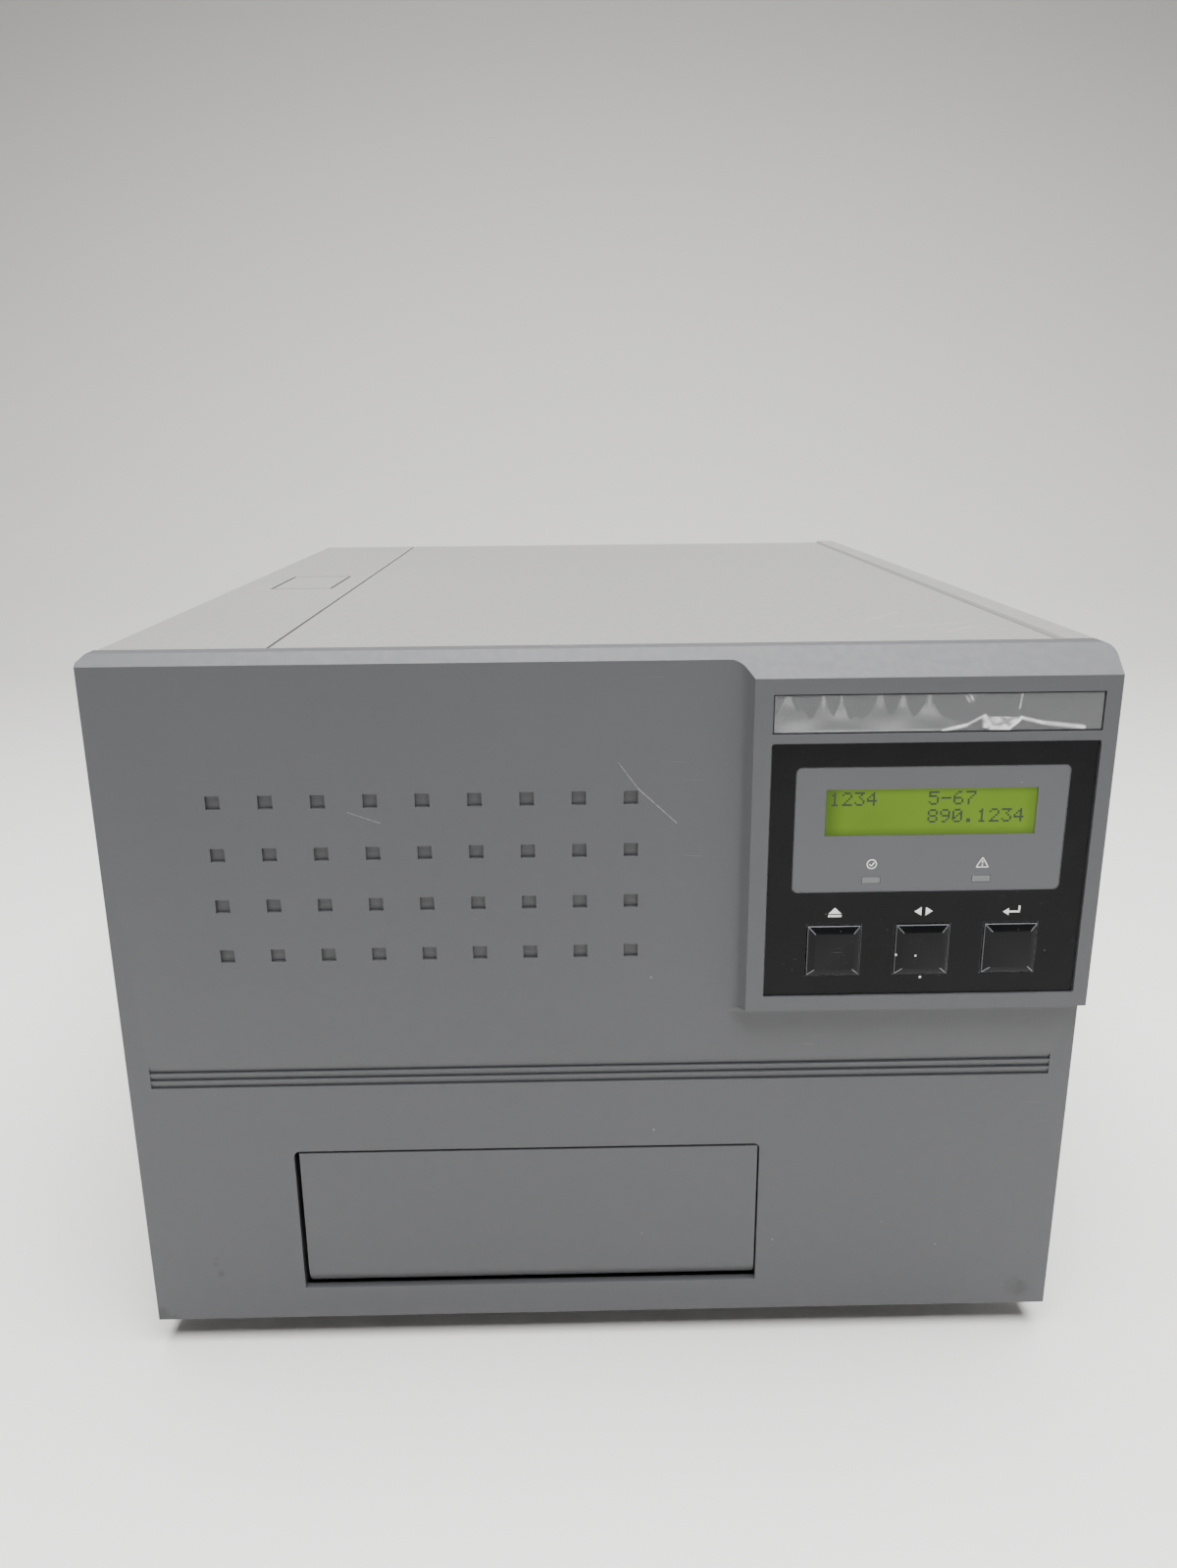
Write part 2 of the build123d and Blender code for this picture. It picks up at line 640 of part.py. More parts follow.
# ---- buttons ----
cap_front_y = pod_y - CAP_PROUD
cap_width = BUTTON_HOLE - 2 * BUTTON_CLEARANCE
flange_y = panel_back_y + COVER_GAP / 2
stem_end_y = switch_front_y - COVER_GAP - BUTTON_TRAVEL - FIT
for button_name, button_x in zip(("eject_button", "select_button", "enter_button"), button_xs):
    with BuildPart() as button:
        block(
            (button_x - cap_width / 2, cap_front_y + BUTTON_BEVEL_DEPTH, button_z - cap_width / 2),
            (button_x + cap_width / 2, flange_y, button_z + cap_width / 2),
        )
        with BuildSketch(Plane.XZ.offset(-cap_front_y)) as cap_face:
            with Locations((button_x, button_z)):
                Rectangle(cap_width - 2 * BUTTON_BEVEL, cap_width - 2 * BUTTON_BEVEL)
        with BuildSketch(Plane.XZ.offset(-cap_front_y - BUTTON_BEVEL_DEPTH)) as cap_shoulder:
            with Locations((button_x, button_z)):
                Rectangle(cap_width, cap_width)
        loft([cap_shoulder.sketch.face(), cap_face.sketch.face()], ruled=True)
        flange_half = cap_width / 2 + BUTTON_FLANGE_RIM
        block(
            (button_x - flange_half, flange_y, button_z - flange_half),
            (button_x + flange_half, flange_y + BUTTON_FLANGE, button_z + flange_half),
        )
        rod((button_x, flange_y, button_z), (0, 1, 0), BUTTON_STEM, stem_end_y - flange_y)
    button.part.label = button_name
    export_step(button.part, f"parts/{button_name}.step")

# ---- flap and its pins ----
flap_left = opening_left + FLAP_GAP_LEFT
flap_right = opening_right - FLAP_GAP_RIGHT
flap_top = opening_top - FLAP_GAP_TOP
flap_inner = FLAP_HINGE_BACK - FLAP_WALL
with BuildPart() as flap:
    with BuildSketch(Plane.YZ.offset(flap_left)):
        with BuildLine():
            hinge_point = (flap_axis_y, flap_axis_z)
            outer_curl = CenterArc(hinge_point, FLAP_HINGE_BACK, 180, FLAP_CURL)
            inner_curl = CenterArc(hinge_point, flap_inner, 180, FLAP_CURL)
            Line(outer_curl @ 1, inner_curl @ 1)
            Polyline(
                inner_curl @ 0,
                (face_y + FLAP_WALL, flap_top),
                (face_y, flap_top),
                outer_curl @ 0,
            )
        make_face()
    extrude(amount=flap_right - flap_left)
    for ear_left in (flap_left, flap_right - FLAP_EAR):
        with BuildSketch(Plane.YZ.offset(ear_left)):
            with Locations((flap_axis_y, flap_axis_z)):
                Circle(FLAP_EAR_RADIUS)
            with Locations((flap_axis_y - flap_inner / 2, flap_axis_z)):
                Rectangle(flap_inner + COVER_GAP, 2 * FLAP_EAR_RADIUS)
            with BuildLine():
                Polyline(
                    (flap_axis_y - flap_inner - FIT, flap_axis_z),
                    (flap_axis_y, flap_axis_z),
                    (flap_axis_y - flap_inner - FIT, flap_axis_z + FLAP_EAR_HEIGHT),
                    close=True,
                )
            make_face()
        extrude(amount=FLAP_EAR)
    rod(
        (flap_left, flap_axis_y, flap_axis_z),
        (1, 0, 0),
        FLAP_PIN_RADIUS + FIT / 2,
        flap_right - flap_left,
        mode=Mode.SUBTRACT,
    )
flap.part.label = "flap"
export_step(flap.part, "parts/flap.step")

with BuildPart() as flap_pins:
    rod(
        (opening_left - REVEAL_WALL, flap_axis_y, flap_axis_z),
        (1, 0, 0),
        FLAP_PIN_RADIUS,
        REVEAL_WALL + FLAP_GAP_LEFT + FLAP_EAR,
    )
    rod(
        (flap_right - FLAP_EAR, flap_axis_y, flap_axis_z),
        (1, 0, 0),
        FLAP_PIN_RADIUS,
        REVEAL_WALL + FLAP_GAP_RIGHT + FLAP_EAR,
    )
flap_pins.part.label = "flap_pins"
export_step(flap_pins.part, "parts/flap_pins.step")

# ---- disc tray ----
tray_front = face_y + TRAY_BACK
tray_bottom = base_z + TRAY_RISE
tray_top = tray_bottom + TRAY_THICKNESS
runner_bottom = tray_bottom + (TRAY_THICKNESS - RUNNER_HEIGHT) / 2
tray_half = TRAY_WIDTH / 2 - RUNNER_WIDTH
disc_y = tray_front + TRAY_LIP + DISC_RADIUS
with BuildPart() as disc_tray:
    block(
        (tray_x - tray_half, tray_front, tray_bottom),
        (tray_x + tray_half, tray_front + TRAY_LENGTH, tray_top),
    )
    fillet(disc_tray.edges().filter_by(Axis.Z).group_by(Axis.Y)[0], TRAY_LIP / 2)
    block(
        (tray_x - TRAY_WIDTH / 2, tray_front + TRAY_LIP, runner_bottom),
        (tray_x + TRAY_WIDTH / 2, tray_front + TRAY_LENGTH, runner_bottom + RUNNER_HEIGHT),
    )
    rod((tray_x, disc_y, tray_top), (0, 0, -1), DISC_RADIUS, DISC_RECESS, mode=Mode.SUBTRACT)
    rod(
        (tray_x, disc_y, tray_top),
        (0, 0, -1),
        SMALL_DISC_RADIUS,
        DISC_RECESS + SMALL_DISC_RECESS,
        mode=Mode.SUBTRACT,
    )
    # The hub keeps the disc centred; finger slots and windows lighten the plate.
    rod(
        (tray_x, disc_y, tray_top - DISC_RECESS - SMALL_DISC_RECESS),
        (0, 0, 1),
        HUB_RADIUS,
        SMALL_DISC_RECESS + HUB_HEIGHT,
    )
    for side in (-1, 1):
        slot_y = disc_y + side * (SMALL_DISC_RADIUS - FINGER_SLOT)
        with BuildSketch(Plane.XY.offset(tray_bottom)):
            with Locations((tray_x, slot_y)):
                SlotOverall(2 * FINGER_SLOT, FINGER_SLOT)
        extrude(amount=TRAY_THICKNESS, mode=Mode.SUBTRACT)
    with BuildSketch(Plane.XY.offset(tray_bottom)):
        with Locations((tray_x, tray_front + TRAY_LENGTH - TRAY_LIP - TRAY_WINDOW_LENGTH / 2)):
            with GridLocations(TRAY_WINDOW_WIDTH + TRAY_LIP, 1, 2, 1):
                Rectangle(TRAY_WINDOW_WIDTH, TRAY_WINDOW_LENGTH)
    extrude(amount=TRAY_THICKNESS, mode=Mode.SUBTRACT)
disc_tray.part.label = "disc_tray"
export_step(disc_tray.part, "parts/disc_tray.step")

# ---- rack, gears and motor ----
tooth_pitch = GEAR_MODULE * pi
rack_root_z = tray_bottom - RACK_BODY
rack_pitch_z = rack_root_z - DEDENDUM
pinion_y = tray_front + PINION_SET_BACK
drive_radius = GEAR_MODULE * DRIVE_TEETH / 2
motor_gear_radius = GEAR_MODULE * MOTOR_TEETH / 2
pinion_z = rack_pitch_z - drive_radius
motor_y = pinion_y + drive_radius + motor_gear_radius
gear_x = tray_x + GEAR_SHIFT
rack_front = pinion_y - tooth_pitch
with BuildPart() as tray_rack:
    block(
        (gear_x, rack_front, rack_root_z),
        (gear_x + GEAR_WIDTH, rack_front + RACK_TEETH * tooth_pitch, tray_bottom),
    )
    with BuildSketch(Plane.YZ.offset(gear_x)):
        for index in range(RACK_TEETH):
            tooth_y = rack_front + (index + 0.5) * tooth_pitch
            with BuildLine():
                Polyline(
                    (tooth_y - TOOTH_ROOT / 2, rack_root_z + FIT),
                    (tooth_y - TOOTH_ROOT / 2, rack_root_z),
                    (tooth_y - TOOTH_TIP / 2, rack_pitch_z - ADDENDUM),
                    (tooth_y + TOOTH_TIP / 2, rack_pitch_z - ADDENDUM),
                    (tooth_y + TOOTH_ROOT / 2, rack_root_z),
                    (tooth_y + TOOTH_ROOT / 2, rack_root_z + FIT),
                    close=True,
                )
            make_face()
    extrude(amount=GEAR_WIDTH)
tray_rack.part.label = "tray_rack"
export_step(tray_rack.part, "parts/tray_rack.step")

with BuildPart() as drive_gear:
    spur_gear(gear_x, pinion_y, pinion_z, DRIVE_TEETH, 0, GEAR_WIDTH)
    rod((gear_x, pinion_y, pinion_z), (-1, 0, 0), GEAR_AXLE_RADIUS + CASE_WALL, CASE_WALL)
    rod(
        (gear_x - CASE_WALL, pinion_y, pinion_z),
        (1, 0, 0),
        GEAR_AXLE_RADIUS + FIT,
        GEAR_WIDTH + CASE_WALL,
        mode=Mode.SUBTRACT,
    )
drive_gear.part.label = "drive_gear"
export_step(drive_gear.part, "parts/drive_gear.step")

with BuildPart() as gear_axle:
    rod(
        (gear_x - CASE_WALL - COVER_GAP, pinion_y, pinion_z),
        (1, 0, 0),
        GEAR_AXLE_RADIUS,
        frame_right_x - gear_x + CASE_WALL + COVER_GAP,
    )
    rod(
        (gear_x + GEAR_WIDTH + COVER_GAP, pinion_y, pinion_z),
        (1, 0, 0),
        GEAR_AXLE_RADIUS + CASE_WALL,
        frame_right_x - gear_x - GEAR_WIDTH - COVER_GAP,
    )
gear_axle.part.label = "gear_axle"
export_step(gear_axle.part, "parts/gear_axle.step")

motor_front_x = frame_right_x + SHEET
with BuildPart() as motor_gear:
    spur_gear(gear_x, motor_y, pinion_z, MOTOR_TEETH, 180 / MOTOR_TEETH, GEAR_WIDTH)
    rod(
        (gear_x, motor_y, pinion_z),
        (1, 0, 0),
        MOTOR_SHAFT_RADIUS,
        motor_front_x - gear_x + MOTOR_LENGTH / 2,
    )
motor_gear.part.label = "motor_gear"
export_step(motor_gear.part, "parts/motor_gear.step")

with BuildPart() as tray_motor:
    rod((motor_front_x, motor_y, pinion_z), (1, 0, 0), MOTOR_RADIUS, MOTOR_LENGTH)
    rod((motor_front_x + MOTOR_LENGTH, motor_y, pinion_z), (1, 0, 0), MOTOR_RADIUS / 2, CASE_WALL)
    rod(
        (motor_front_x, motor_y, pinion_z),
        (1, 0, 0),
        MOTOR_SHAFT_RADIUS + FIT,
        MOTOR_LENGTH / 2 + COVER_GAP,
        mode=Mode.SUBTRACT,
    )
tray_motor.part.label = "tray_motor"
export_step(tray_motor.part, "parts/tray_motor.step")

# ---- tray rails ----
rail_bottom = tray_bottom + (TRAY_THICKNESS - RAIL_HEIGHT) / 2
rail_front = face_y + RAIL_FRONT
rail_back = frame_back - RAIL_REAR_GAP
rails = (
    ("tray_rail_left", frame_left_x + SHEET, tray_x - tray_half - RAIL_LIP_GAP, -1),
    ("tray_rail_right", tray_x + tray_half + RAIL_LIP_GAP, frame_right_x, 1),
)
for rail_name, rail_left, rail_right, side in rails:
    with BuildPart() as rail:
        block(
            (rail_left, rail_front, rail_bottom),
            (rail_right, rail_back, rail_bottom + RAIL_HEIGHT),
        )
        groove_end = tray_x + side * (TRAY_WIDTH / 2 + RUNNER_GAP)
        groove_mouth = tray_x + side * tray_half
        block(
            (min(groove_end, groove_mouth), rail_front, runner_bottom - RUNNER_GAP),
            (
                max(groove_end, groove_mouth),
                rail_back,
                runner_bottom + RUNNER_HEIGHT + RUNNER_GAP,
            ),
            mode=Mode.SUBTRACT,
        )
    rail.part.label = rail_name
    export_step(rail.part, f"parts/{rail_name}.step")

# ---- base pan and feet ----
pan_left = left + PAN_LEFT
pan_right = right - CASE_WALL - FIT
pan_front = face_y + BEZEL_DEPTH + COVER_GAP
hinge_x = left + DOOR_HINGE_X
hinge_z = base_z + DOOR_HINGE_Z
with BuildPart() as base_pan:
    block((pan_left, pan_front, base_z), (pan_right, rear_panel_y, base_z + PAN_RIM))
    # Rims stand on three sides; the front stays flat under the flap.
    block(
        (pan_left + SHEET, pan_front, pan_z),
        (pan_right - SHEET, rear_panel_y - SHEET, base_z + PAN_RIM),
        mode=Mode.SUBTRACT,
    )
base_pan.part.label = "base_pan"
export_step(base_pan.part, "parts/base_pan.step")

with BuildPart() as hinge_lugs:
    for hinge_back in hinge_backs:
        lug_y = face_y + hinge_back - DOOR_LUG_LENGTH / 2
        block(
            (hinge_x, lug_y, hinge_z - DOOR_LUG_RADIUS),
            (pan_left, lug_y + DOOR_LUG_LENGTH, hinge_z + DOOR_LUG_RADIUS),
        )
        rod((hinge_x, lug_y, hinge_z), (0, 1, 0), DOOR_LUG_RADIUS, DOOR_LUG_LENGTH)
        rod(
            (hinge_x, lug_y, hinge_z),
            (0, 1, 0),
            DOOR_PIN_RADIUS + FIT / 2,
            DOOR_LUG_LENGTH,
            mode=Mode.SUBTRACT,
        )
hinge_lugs.part.label = "hinge_lugs"
export_step(hinge_lugs.part, "parts/hinge_lugs.step")

with BuildPart() as feet:
    for foot_x in (left + FOOT_INSET_X, right - FOOT_INSET_X):
        for foot_y in (face_y + FOOT_INSET_Y, rear_y - FOOT_INSET_Y):
            rod((foot_x, foot_y, base_z), (0, 0, -1), FOOT_RADIUS, FOOT_HEIGHT)
    fillet(feet.edges().filter_by(GeomType.CIRCLE).group_by(Axis.Z)[0], FOOT_RADIUS / 5)
feet.part.label = "feet"
export_step(feet.part, "parts/feet.step")

# ---- inner frames ----
frame_top = base_z + FRAME_HEIGHT
heat_y = face_y + HEAT_ROLLER_BACK
heat_z = tray_top + ROLLER_DISC_GAP + HEAT_ROLLER_RADIUS
platen_y = face_y + PLATEN_BACK
platen_z = base_z + PLATEN_RISE
pivot_y = face_y + HEAD_PIVOT_BACK
pivot_z = base_z + HEAD_PIVOT_RISE
shaft_seats = ((heat_y, heat_z), (platen_y, platen_z))
film_window = (face_y + FILM_WINDOW_FRONT, face_y + FILM_WINDOW_BACK)
ribbon_window = (face_y + RIBBON_WINDOW_FRONT, frame_back - RIBBON_WINDOW_REAR)

with BuildPart() as left_frame:
    block(
        (frame_left_x, frame_front, pan_z),
        (frame_left_x + SHEET, frame_back, frame_top),
    )
    for window_front, window_back in (film_window, ribbon_window):
        block(
            (frame_left_x, window_front, base_z + WINDOW_LOW),
            (frame_left_x + SHEET, window_back, base_z + WINDOW_HIGH),
            mode=Mode.SUBTRACT,
        )
    for seat_y, seat_z in shaft_seats:
        rod(
            (frame_left_x, seat_y, seat_z),
            (1, 0, 0),
            ROLLER_SHAFT_RADIUS + FIT,
            SHEET,
            mode=Mode.SUBTRACT,
        )
    rod(
        (frame_left_x, pivot_y, pivot_z),
        (1, 0, 0),
        ROLLER_SHAFT_RADIUS + FIT / 2,
        SHEET,
        mode=Mode.SUBTRACT,
    )
left_frame.part.label = "left_frame"
export_step(left_frame.part, "parts/left_frame.step")

with BuildPart() as right_frame:
    block(
        (frame_right_x, frame_front, pan_z),
        (frame_right_x + SHEET, frame_back, frame_top),
    )
    for seat_y, seat_z in shaft_seats:
        rod(
            (frame_right_x, seat_y, seat_z),
            (1, 0, 0),
            ROLLER_SHAFT_RADIUS + FIT,
            SHEET,
            mode=Mode.SUBTRACT,
        )
    rod(
        (frame_right_x, pivot_y, pivot_z),
        (1, 0, 0),
        ROLLER_SHAFT_RADIUS + FIT / 2,
        SHEET,
        mode=Mode.SUBTRACT,
    )
    rod(
        (frame_right_x, motor_y, pinion_z),
        (1, 0, 0),
        MOTOR_SHAFT_RADIUS + COVER_GAP,
        SHEET,
        mode=Mode.SUBTRACT,
    )
right_frame.part.label = "right_frame"
export_step(right_frame.part, "parts/right_frame.step")

# ---- rollers ----
roller_left = frame_left_x + SHEET + ROLLER_MARGIN
roller_right = frame_right_x - ROLLER_MARGIN
shaft_length = frame_right_x + SHEET - frame_left_x
rollers = (
    ("heat_roller", heat_y, heat_z, HEAT_ROLLER_RADIUS),
    ("platen_roller", platen_y, platen_z, PLATEN_RADIUS),
)
for roller_name, roller_y, roller_z, roller_radius in rollers:
    with BuildPart() as roller:
        rod((roller_left, roller_y, roller_z), (1, 0, 0), roller_radius, roller_right - roller_left)
        rod((frame_left_x, roller_y, roller_z), (1, 0, 0), ROLLER_SHAFT_RADIUS, shaft_length)
    roller.part.label = roller_name
    export_step(roller.part, f"parts/{roller_name}.step")

# ---- print head and its pivot ----
head_front_y = platen_y + PLATEN_RADIUS + HEAD_GAP
head_bottom = platen_z - HEAD_HEIGHT / 2
arm_xs = (roller_left + COVER_GAP, roller_right - COVER_GAP - HEAD_ARM_WIDTH)
with BuildPart() as print_head:
    block(
        (roller_left, head_front_y, head_bottom),
        (roller_right, head_front_y + HEAD_THICKNESS, head_bottom + HEAD_HEIGHT),
    )
    fin_y = head_front_y + HEAD_THICKNESS
    fin_span = (HEAD_FIN_COUNT - 1) * HEAD_FIN_PITCH
    for index in range(HEAD_FIN_COUNT):
        fin_x = (roller_left + roller_right - fin_span) / 2 + index * HEAD_FIN_PITCH
        block(
            (fin_x - HEAD_FIN_WIDTH / 2, fin_y, head_bottom),
            (fin_x + HEAD_FIN_WIDTH / 2, fin_y + HEAD_FIN_DEPTH, head_bottom + HEAD_HEIGHT),
        )
    for arm_x in arm_xs:
        with BuildSketch(Plane.YZ.offset(arm_x)):
            with BuildLine():
                Polyline(
                    (head_front_y, head_bottom),
                    (fin_y, head_bottom + HEAD_HEIGHT / 2),
                    (pivot_y + HEAD_ARM_DEPTH / 2, pivot_z),
                    (pivot_y - HEAD_ARM_DEPTH / 2, pivot_z),
                    close=True,
                )
            make_face()
            with Locations((pivot_y, pivot_z)):
                Circle(HEAD_ARM_DEPTH / 2 + SHEET)
                Circle(ROLLER_SHAFT_RADIUS + FIT, mode=Mode.SUBTRACT)
        extrude(amount=HEAD_ARM_WIDTH)
print_head.part.label = "print_head"
export_step(print_head.part, "parts/print_head.step")

with BuildPart() as head_pivot_rod:
    rod((frame_left_x, pivot_y, pivot_z), (1, 0, 0), ROLLER_SHAFT_RADIUS, shaft_length)
head_pivot_rod.part.label = "head_pivot_rod"
export_step(head_pivot_rod.part, "parts/head_pivot_rod.step")

# ---- film and ribbon cassettes ----
outer_end_x = frame_left_x + SHEET + CASSETTE_GAP
inner_end_x = frame_right_x - CASSETTE_GAP - CASSETTE_WALL
bar_length = inner_end_x - outer_end_x - CASSETTE_WALL
low_z = base_z + WINDOW_LOW + CASSETTE_MARGIN
high_z = base_z + WINDOW_HIGH - CASSETTE_MARGIN
spool_z = base_z + SPOOL_RISE
film_spool_ys = (film_window[0] + FILM_SUPPLY_INSET, film_window[1] - FILM_TAKEUP_INSET)
ribbon_spool_ys = (ribbon_window[1] - RIBBON_SUPPLY_INSET, ribbon_window[0] + RIBBON_TAKEUP_INSET)
cassettes = (
    ("film_cassette", film_window, film_spool_ys),
    ("ribbon_cassette", ribbon_window, ribbon_spool_ys),
)
for cassette_name, window, spool_ys in cassettes:
    front_y = window[0] + CASSETTE_MARGIN
    back_y = window[1] - CASSETTE_MARGIN
    for end_name, end_x in (("outer_end", outer_end_x), ("inner_end", inner_end_x)):
        with BuildPart() as cassette_end:
            block((end_x, front_y, low_z), (end_x + CASSETTE_WALL, back_y, high_z))
            fillet(cassette_end.edges().filter_by(Axis.X), CASSETTE_BAR_INSET)
            for seat_y in spool_ys:
                rod(
                    (end_x, seat_y, spool_z),
                    (1, 0, 0),
                    SPOOL_STUB_RADIUS + FIT,
                    CASSETTE_WALL,
                    mode=Mode.SUBTRACT,
                )
            if end_name == "outer_end":
                grip_y = (front_y + back_y) / 2
                grip_z = high_z - CASSETTE_BAR_INSET
                block(
                    (end_x, grip_y - GRIP_LENGTH / 2, grip_z - GRIP_HEIGHT),
                    (end_x + CASSETTE_WALL, grip_y + GRIP_LENGTH / 2, grip_z),
                    mode=Mode.SUBTRACT,
                )
        cassette_end.part.label = f"{cassette_name}_{end_name}"
        export_step(cassette_end.part, f"parts/{cassette_name}_{end_name}.step")
    with BuildPart() as cassette_bars:
        for bar_y in (front_y + CASSETTE_BAR_INSET, back_y - CASSETTE_BAR_INSET):
            rod(
                (outer_end_x + CASSETTE_WALL, bar_y, high_z - CASSETTE_BAR_INSET),
                (1, 0, 0),
                CASSETTE_BAR_RADIUS,
                bar_length,
            )
    cassette_bars.part.label = f"{cassette_name}_bars"
    export_step(cassette_bars.part, f"parts/{cassette_name}_bars.step")

spools = (
    ("film_supply_spool", film_spool_ys[0], FILM_SUPPLY_RADIUS),
    ("film_takeup_spool", film_spool_ys[1], FILM_TAKEUP_RADIUS),
    ("ribbon_supply_spool", ribbon_spool_ys[0], RIBBON_SUPPLY_RADIUS),
    ("ribbon_takeup_spool", ribbon_spool_ys[1], RIBBON_TAKEUP_RADIUS),
)
for spool_name, spool_y, wound_radius in spools:
    spool_left = outer_end_x + CASSETTE_WALL + SPOOL_FLANGE_GAP
    spool_right = inner_end_x - SPOOL_FLANGE_GAP
    with BuildPart() as spool:
        rod((spool_left, spool_y, spool_z), (1, 0, 0), SPOOL_CORE_RADIUS, spool_right - spool_left)
        rod(
            (spool_left + SPOOL_FLANGE, spool_y, spool_z),
            (1, 0, 0),
            wound_radius,
            spool_right - spool_left - 2 * SPOOL_FLANGE,
        )
        rod((outer_end_x, spool_y, spool_z), (1, 0, 0), SPOOL_STUB_RADIUS, inner_end_x - outer_end_x)
        rod((inner_end_x, spool_y, spool_z), (1, 0, 0), SPOOL_STUB_RADIUS, CASSETTE_WALL)
    spool.part.label = spool_name
    export_step(spool.part, f"parts/{spool_name}.step")

# ---- side door with its pins ----
door_top = panel_z
door_bottom = hinge_z - DOOR_LUG_RADIUS
door_back = rear_y
strip_right = left + STRIP_WIDTH - COVER_GAP / 2
latch_left = left + LATCH_LEFT
latch_front = face_y + LATCH_BACK
latch_right = latch_left + LATCH_WIDTH
latch_back = latch_front + LATCH_LENGTH
cup_bottom = door_top - LATCH_CUP_DEPTH
with BuildPart() as side_door:
    with BuildSketch(Plane.XZ.offset(-cover_front)) as door_section:
        with BuildLine():
            Polyline(
                (left, door_bottom),
                (left, door_top),
                (strip_right, door_top),
                (strip_right, door_top - CASE_WALL),
                (left + CASE_WALL, door_top - CASE_WALL),
                (left + CASE_WALL, door_bottom),
                close=True,
            )
        make_face()
        fillet(door_section.vertices().sort_by_distance((left, door_top))[0], DOOR_RADIUS)
    extrude(amount=-(door_back - cover_front))
    # Knuckles on both sides of each lug of the base.
    for hinge_back in hinge_backs:
        lug_y = face_y + hinge_back - DOOR_LUG_LENGTH / 2
        pin_y = face_y + hinge_back - DOOR_PIN_LENGTH / 2
        knuckle = (DOOR_PIN_LENGTH - DOOR_LUG_LENGTH) / 2 - COVER_GAP
        for knuckle_y in (pin_y, pin_y + DOOR_PIN_LENGTH - knuckle):
            block(
                (left, knuckle_y, hinge_z - COVER_GAP),
                (hinge_x, knuckle_y + knuckle, hinge_z + DOOR_LUG_RADIUS),
            )
            rod((hinge_x, knuckle_y, hinge_z), (0, 1, 0), DOOR_LUG_RADIUS, knuckle)
            rod(
                (hinge_x, knuckle_y, hinge_z),
                (0, 1, 0),
                DOOR_PIN_RADIUS + FIT,
                knuckle,
                mode=Mode.SUBTRACT,
            )
    # Well of the latch button, with a slot in its floor for the hook.
    block(
        (latch_left - LATCH_CUP_WALL, latch_front - LATCH_CUP_WALL, cup_bottom),
        (latch_right + LATCH_CUP_WALL, latch_back + LATCH_CUP_WALL, door_top - CASE_WALL),
    )
    block(
        (latch_left, latch_front, cup_bottom + LATCH_CUP_WALL),
        (latch_right, latch_back, door_top),
        mode=Mode.SUBTRACT,
    )
    hook_left = latch_right - LATCH_HOOK_WALL - 2 * LATCH_HOOK_REACH
    hook_y = (latch_front + latch_back) / 2
    block(
        (
            hook_left - COVER_GAP,
            hook_y - LATCH_HOOK_LENGTH / 2 - COVER_GAP,
            cup_bottom,
        ),
        (
            hook_left + LATCH_HOOK_WALL + LATCH_HOOK_REACH + COVER_GAP,
            hook_y + LATCH_HOOK_LENGTH / 2 + COVER_GAP,
            cup_bottom + LATCH_CUP_WALL,
        ),
        mode=Mode.SUBTRACT,
    )
side_door.part.label = "side_door"
export_step(side_door.part, "parts/side_door.step")

with BuildPart() as door_hinge_pins:
    for hinge_back in hinge_backs:
        rod(
            (hinge_x, face_y + hinge_back - DOOR_PIN_LENGTH / 2, hinge_z),
            (0, 1, 0),
            DOOR_PIN_RADIUS,
            DOOR_PIN_LENGTH,
        )
door_hinge_pins.part.label = "door_hinge_pins"
export_step(door_hinge_pins.part, "parts/door_hinge_pins.step")

hook_tip_z = cup_bottom - LATCH_TRAVEL - LATCH_HOOK_WALL - STRIKE_GAP - SHEET - STRIKE_GAP
with BuildPart() as latch_button:
    block(
        (latch_left + LATCH_CLEARANCE, latch_front + LATCH_CLEARANCE, door_top - CASE_WALL),
        (latch_right - LATCH_CLEARANCE, latch_back - LATCH_CLEARANCE, door_top),
    )
    fillet(latch_button.edges().filter_by(Axis.Z), LATCH_CLEARANCE)
    block(
        (hook_left, hook_y - LATCH_HOOK_LENGTH / 2, hook_tip_z),
        (hook_left + LATCH_HOOK_WALL, hook_y + LATCH_HOOK_LENGTH / 2, door_top - CASE_WALL),
    )
    block(
        (hook_left, hook_y - LATCH_HOOK_LENGTH / 2, hook_tip_z),
        (
            hook_left + LATCH_HOOK_WALL + LATCH_HOOK_REACH,
            hook_y + LATCH_HOOK_LENGTH / 2,
            hook_tip_z + LATCH_HOOK_WALL,
        ),
    )
latch_button.part.label = "latch_button"
export_step(latch_button.part, "parts/latch_button.step")

# The strike stands on the left frame, above the hook's lip and to its right.
strike_z = hook_tip_z + LATCH_HOOK_WALL + STRIKE_GAP
with BuildPart() as latch_strike:
    block(
        (
            hook_left + LATCH_HOOK_WALL + STRIKE_GAP,
            hook_y - LATCH_HOOK_LENGTH,
            strike_z,
        ),
        (frame_left_x, hook_y + LATCH_HOOK_LENGTH, strike_z + SHEET),
    )
    block(
        (frame_left_x - SHEET, hook_y - LATCH_HOOK_LENGTH, strike_z - LATCH_HOOK_LENGTH),
        (frame_left_x, hook_y + LATCH_HOOK_LENGTH, strike_z + SHEET),
    )
latch_strike.part.label = "latch_strike"
export_step(latch_strike.part, "parts/latch_strike.step")

